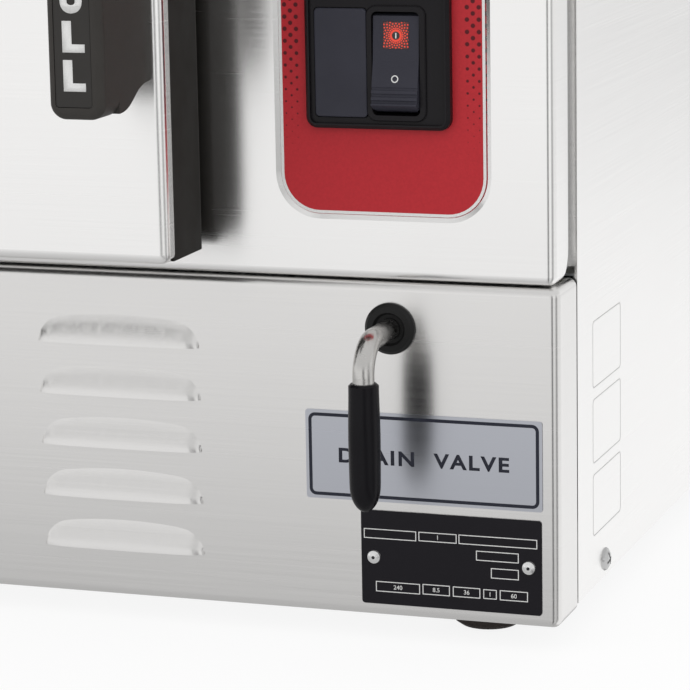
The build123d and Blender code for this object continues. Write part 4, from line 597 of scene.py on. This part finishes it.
# Timer scale round the knob: twelve marks and the minutes at every other one. The pointer is on the knob.
MARK_FROM, MARK_TO, MARK_TO_LONG, MARK_HALF = 22.5, 25.5, 26.5, 0.35
MARKS, MARK_MINUTES, NUMBER_RADIUS, NUMBER_HEIGHT = 12, 5, 30.5, 3.4
POINTER_HALF, POINTER_REACH, POINTER_CORNER, POINTER_PROUD = 0.6, (6, 17), 0.5, 0.06
dial = centre_mm("timer_knob")
marks, numbers = [], []
for step in range(MARKS):
    angle = math.radians(90 - 360 / MARKS * step)
    along = math.cos(angle), math.sin(angle)
    sx, sz = -along[1] * MARK_HALF, along[0] * MARK_HALF
    reach = MARK_FROM, MARK_TO if step % 2 else MARK_TO_LONG
    (x0, z0), (x1, z1) = [(dial[0] + along[0] * r, dial[1] + along[1] * r) for r in reach]
    marks.append([(x0 + sx, z0 + sz), (x0 - sx, z0 - sz), (x1 - sx, z1 - sz), (x1 + sx, z1 + sz)])
    if step % 2 == 0:
        x, z = (centre + way * NUMBER_RADIUS for centre, way in zip(dial, along))
        at = x, face - PRINT, z - NUMBER_HEIGHT / 2
        minutes = str(MARK_MINUTES * step)
        numbers.append(text_mesh(f"time_{step}", minutes, *at, NUMBER_HEIGHT, bold=0.01, depth=PRINT))
scale = [raised("scale_marks", marks, face, face - PRINT)] + numbers
finish_piece(joined("timer_scale", scale), ink_white, "case")
across = dial[0] - POINTER_HALF, dial[0] + POINTER_HALF
line = rounded_outline(across, [dial[1] + reach for reach in POINTER_REACH], POINTER_CORNER, steps=4)
low, _ = box_mm("timer_knob")
pointer = raised("timer_pointer", [line], low[1] + SUNK, low[1] - POINTER_PROUD)
finish_piece(pointer, ink_white, "timer")

# Rocker signs: a bar on the lens and a ring on the lower wing, drawn round the origin and laid on
BAR_HALF, BAR_CORNER, RING_RADII, RING_DROP, SIGN_HALF = (0.28, 1.2), 0.12, (1.65, 1.15), 18.5, 0.03
lens_at = centre_mm("rocker_lens")
outline = rounded_outline(*[(-half, half) for half in BAR_HALF], BAR_CORNER, steps=3)
bar = raised("rocker_bar", [outline], SIGN_HALF, -SIGN_HALF)
outline, hole = (circle(0, 0, radius) for radius in RING_RADII)
ring = raised("rocker_ring", [outline], SIGN_HALF, -SIGN_HALF, [hole])
ring_at = lens_at[0], lens_at[1] - RING_DROP
signs = [laid_on("rocker_lens", bar, lens_at), laid_on("power_rocker", ring, ring_at)]
finish_piece(joined("rocker_signs", signs), ink_white, "rocker")

# Drain label: a dark frame line and two words
LINE_INSET, LINE_CORNER, LINE_WIDTH = 1.4, 3.2, 1.5
WORDS_HEIGHT, WORDS_WIDTH = 6.8, 79.0
low, high = box_mm("drain_label")
face = low[1]
box = [(low[axis] + LINE_INSET, high[axis] - LINE_INSET) for axis in (0, 2)]
line = frames("label_line", [box], LINE_CORNER, LINE_WIDTH, face)
finish_piece(line, ink_navy, "case")
middle = centre_mm("drain_label")
at = middle[0], face - PRINT, middle[1] - WORDS_HEIGHT / 2
size = WORDS_HEIGHT, WORDS_WIDTH
words = text_mesh("label_words", "DRAIN  VALVE", *at, *size, bold=0.03, spacing=1.2, depth=PRINT)
finish_piece(words, ink_navy, "case")

# Data plate: empty outlined boxes, some with a plain number. Left, right, foot and top from the plate's corner.
PLATE_CORNER, PLATE_LINE, PLATE_DIGIT = 0.1, 0.38, 2.0
PLATE_BOXES = (
    (1.3, 25.8, 30.1, 34.6, ""), (26.9, 44.6, 30.3, 34.6, "1"), (45.5, 81.6, 30.3, 34.6, ""),
    (53.5, 73.1, 23.3, 27.8, ""), (60.3, 73.1, 15.6, 20.3, ""), (6.6, 27.3, 5.7, 10.5, "240"),
    (28.5, 41.2, 5.9, 10.7, "8.5"), (42.6, 55.3, 5.9, 10.6, "36"), (56.7, 62.9, 6.0, 10.4, "1"),
    (64.3, 77.2, 5.9, 10.5, "60"),
)
low, high = box_mm("data_plate")
face = low[1]
boxes, numbers = [], []
for count, (left, right, foot, top, word) in enumerate(PLATE_BOXES):
    sides = (low[0] + left, low[0] + right), (low[2] + foot, low[2] + top)
    boxes.append(sides)
    if word:
        at = sum(sides[0]) / 2, face - PRINT, sides[1][0] + (top - foot - PLATE_DIGIT) / 2
        numbers.append(text_mesh(f"plate_number_{count}", word, *at, PLATE_DIGIT, bold=0.01, depth=PRINT))
lines = frames("plate_boxes", boxes, PLATE_CORNER, PLATE_LINE, face)
finish_piece(joined("plate_print", [lines] + numbers), ink_white, "case")

# Faint outlines of blank clear labels, drawn facing the front and turned onto the right side
CLEAR_HEIGHTS = (109, 140), (74, 104), (40, 69)
CLEAR_WIDTH, CLEAR_BACK, CLEAR_CORNER, CLEAR_LINE = 50.8, 51.5, 2.5, 0.5
low, high = box_mm("right_side_panel")
boxes = [((0, CLEAR_WIDTH), heights) for heights in CLEAR_HEIGHTS]
clear = frames("side_labels", boxes, CLEAR_CORNER, CLEAR_LINE, 0.0)
for vertex in clear.data.vertices:
    across, out, up = vertex.co
    vertex.co = (high[0] * MM - out, (low[1] + CLEAR_BACK) * MM + across, up)
finish_piece(clear, printed("label_edge", (0.50, 0.50, 0.49), 0.3), "case")

# Painted shade of the centre holes of the plate's rivets: a black disc on each rivet head. The node's points
# near each end of its box belong to one rivet
RIVET_REACH, CENTRE_RADIUS, CENTRE_PROUD = 9, 0.75, 0.04
low, high = box_mm("plate_rivets")
discs = []
for end in (low, high):
    points = (vertex.co / MM for vertex in nodes["plate_rivets"].data.vertices)
    near = [point for point in points if abs(point.x - end[0]) < RIVET_REACH]
    xs, zs = [v.x for v in near], [v.z for v in near]
    discs.append(circle((min(xs) + max(xs)) / 2, (min(zs) + max(zs)) / 2, CENTRE_RADIUS, 16))
hole_shade_discs = raised("rivet_hole_shade", discs, low[1] + SUNK, low[1] - CENTRE_PROUD)
finish_piece(hole_shade_discs, hole_shade_black, "case")


# Soft filling: the blanket round the cavity and the core of the door
LUMPS = (61, 0), (47, 1.3), (53, 0.7)  # waves a metre times two pi, and their shifts


def soften(node, body, depth, voxel=6.0):
    """A copy of the CAD node with softened edges and shallow lumps that stay inside its skin."""
    piece = bpy.data.objects.new(node + "_soft", nodes[node].data.copy())
    bpy.context.scene.collection.objects.link(piece)
    remesh = piece.modifiers.new("voxels", "REMESH")
    remesh.mode = "VOXEL"
    remesh.voxel_size = voxel * MM
    smooth = piece.modifiers.new("soft", "SMOOTH")
    smooth.factor, smooth.iterations = 0.5, 2
    bpy.context.view_layer.update()
    made = bpy.data.meshes.new_from_object(piece.evaluated_get(bpy.context.evaluated_depsgraph_get()))
    piece.modifiers.clear()
    piece.data = made
    inward = [-vertex.normal for vertex in made.vertices]
    for vertex, way in zip(made.vertices, inward):
        lump = math.prod(math.sin(value * wave + shift) for value, (wave, shift) in zip(vertex.co, LUMPS))
        vertex.co += way * depth * MM * (0.5 + 0.5 * lump)
    for polygon in made.polygons:
        polygon.use_smooth = True
    finish_piece(piece, materials["blanket"], body, (node,))


soften("insulation_wrap", "case", 1.5)
soften("door_core", "door", 1.2)

# Floor, world and lamps. The camera sees plain white. What the metal mirrors is graded by direction and place,
# so that folds and bends are drawn as in the photograph. STUDIO holds degrees round the object, 0 at the front
# and 90 at the right, each with its level.
STUDIO = (
    (-180, 0.97), (4, 0.97), (9, 0.26), (25, 0.26), (29, 1.0), (57, 1.0), (62, 0.5), (80, 0.5),
    (84, 0.95), (180, 0.95),
)


def studio(tree, angle):
    """Level of the white studio in a direction: two narrow grey flags stand in it."""
    turn = tree.spread(angle, 0.0, 1.0, start=-math.pi, end=math.pi)
    stops = [((degrees + 180) / 360, (level,) * 3) for degrees, level in STUDIO]
    return tree.ramp(turn, stops)


FLOOR_REACH = 6
FLOOR_LIGHT, FLOOR_SHARE = 1.03, 0.85  # strength of the white that the camera sees, and its share
AHEAD, AHEAD_SHADE_LEVELS = (0.36, 1.25), (0.57, 1.06)  # distances in front of the object, and levels there, darker near it: painted shade of the object that the metal mirrors
ASIDE_REACH, ASIDE_LEVELS = 1.9, (1.04, 0.78)  # the same for the floor beside and behind it
HALF_WIDTH, REAR, FRONT = 0.31, 0.40, -0.33  # where the object stands on the floor
CORNER = 0.30, -0.32  # right front corner, round which the floor's flags turn

floor_mesh = bpy.data.meshes.new("floor")
corners = [(x * FLOOR_REACH, y * FLOOR_REACH, 0) for x, y in ((-1, -1), (1, -1), (1, 1), (-1, 1))]
floor_mesh.from_pydata(corners, [], [(0, 1, 2, 3)])
floor = bpy.data.objects.new("floor", floor_mesh)
bpy.context.scene.collection.objects.link(floor)
n = Nodes("floor_white")
path = n.add("ShaderNodeLightPath")
n.set(Base_Color=(0.85, 0.85, 0.85, 1), Roughness=0.9)
x, y, _ = n.split(n.place())
# The mirrored floor darkens close in front of the object: painted shade
ahead = n.spread(n.math("MULTIPLY", y, -1.0), *AHEAD_SHADE_LEVELS, *AHEAD)
past_side = n.math("SUBTRACT", n.math("ABSOLUTE", x), HALF_WIDTH)
beside = n.math("MAXIMUM", past_side, n.math("SUBTRACT", y, REAR))
flank = n.math("MULTIPLY", n.math("GREATER_THAN", beside, 0.0), n.math("GREATER_THAN", y, FRONT))
near = n.math("MULTIPLY", flank, n.spread(beside, *ASIDE_LEVELS, start=0.0, end=ASIDE_REACH))
near = n.math("ADD", near, n.math("MULTIPLY", n.math("SUBTRACT", 1.0, flank), ahead))
round_corner = n.math("ARCTAN2", n.math("SUBTRACT", x, CORNER[0]), n.math("SUBTRACT", CORNER[1], y))
white = n.add("ShaderNodeEmission", Color=(1, 1, 1, 1), Strength=FLOOR_LIGHT)
lit = n.shader.outputs["BSDF"]
paper = n.mix_shader(FLOOR_SHARE, lit, white.outputs["Emission"])
mirrored = n.add("ShaderNodeEmission", Color=(1, 1, 1, 1))
n.link(n.math("MULTIPLY", near, studio(n, round_corner)), mirrored.inputs["Strength"])
seen = n.math("MAXIMUM", path.outputs["Is Camera Ray"], path.outputs["Is Transmission Ray"])
plain = n.mix_shader(seen, lit, paper)
surface = n.mix_shader(path.outputs["Is Glossy Ray"], plain, mirrored.outputs["Emission"])
n.link(surface, n.tree.nodes["Material Output"].inputs["Surface"])
floor_mesh.materials.append(n.material)
floor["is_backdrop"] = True

WORLD_LIGHT = 0.80  # strength that lights the object; what is seen or mirrored has 1
OVERHEAD, RISE = (0.78, 0.78, 0.78), (0.12, 0.32)  # mirrored level above, and where it sets in
world = bpy.data.worlds.new("world")
bpy.context.scene.world = world
world.use_nodes = True
w = Nodes(tree=world.node_tree)
background = w.tree.nodes["Background"]
path = w.add("ShaderNodeLightPath")
seen = w.math("MAXIMUM", path.outputs["Is Camera Ray"], path.outputs["Is Glossy Ray"])
seen = w.math("MAXIMUM", seen, path.outputs["Is Transmission Ray"])
w.link(w.spread(seen, WORLD_LIGHT, 1.0, start=0.0, end=1.0), background.inputs["Strength"])
x, y, z = w.split(w.add("ShaderNodeTexCoord").outputs["Generated"])
level = studio(w, w.math("ARCTAN2", x, w.math("MULTIPLY", y, -1.0)))
dome = w.mix(w.spread(z, 0.0, 1.0, *RISE), level, OVERHEAD)
w.link(w.mix(path.outputs["Is Glossy Ray"], (1.0, 1.0, 1.0), dome), background.inputs["Color"])


def lamp(name, at, to, size, power):
    """Area lamp that lights the object and doesn't show in its mirror surfaces."""
    data = bpy.data.lights.new(name, "AREA")
    data.shape = "RECTANGLE"
    data.size, data.size_y = size
    data.energy = power
    item = bpy.data.objects.new(name, data)
    item.location = at
    item.rotation_euler = (Vector(to) - Vector(at)).to_track_quat("-Z", "Y").to_euler()
    item.visible_glossy = False
    bpy.context.scene.collection.objects.link(item)


lamp("key", at=(1.6, -2.2, 2.2), to=(0.1, -0.2, 0.25), size=(4.0, 3.2), power=25)
lamp("fill", at=(-2.2, -1.8, 1.6), to=(0.0, -0.2, 0.25), size=(3.2, 2.6), power=14)

low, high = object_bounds()
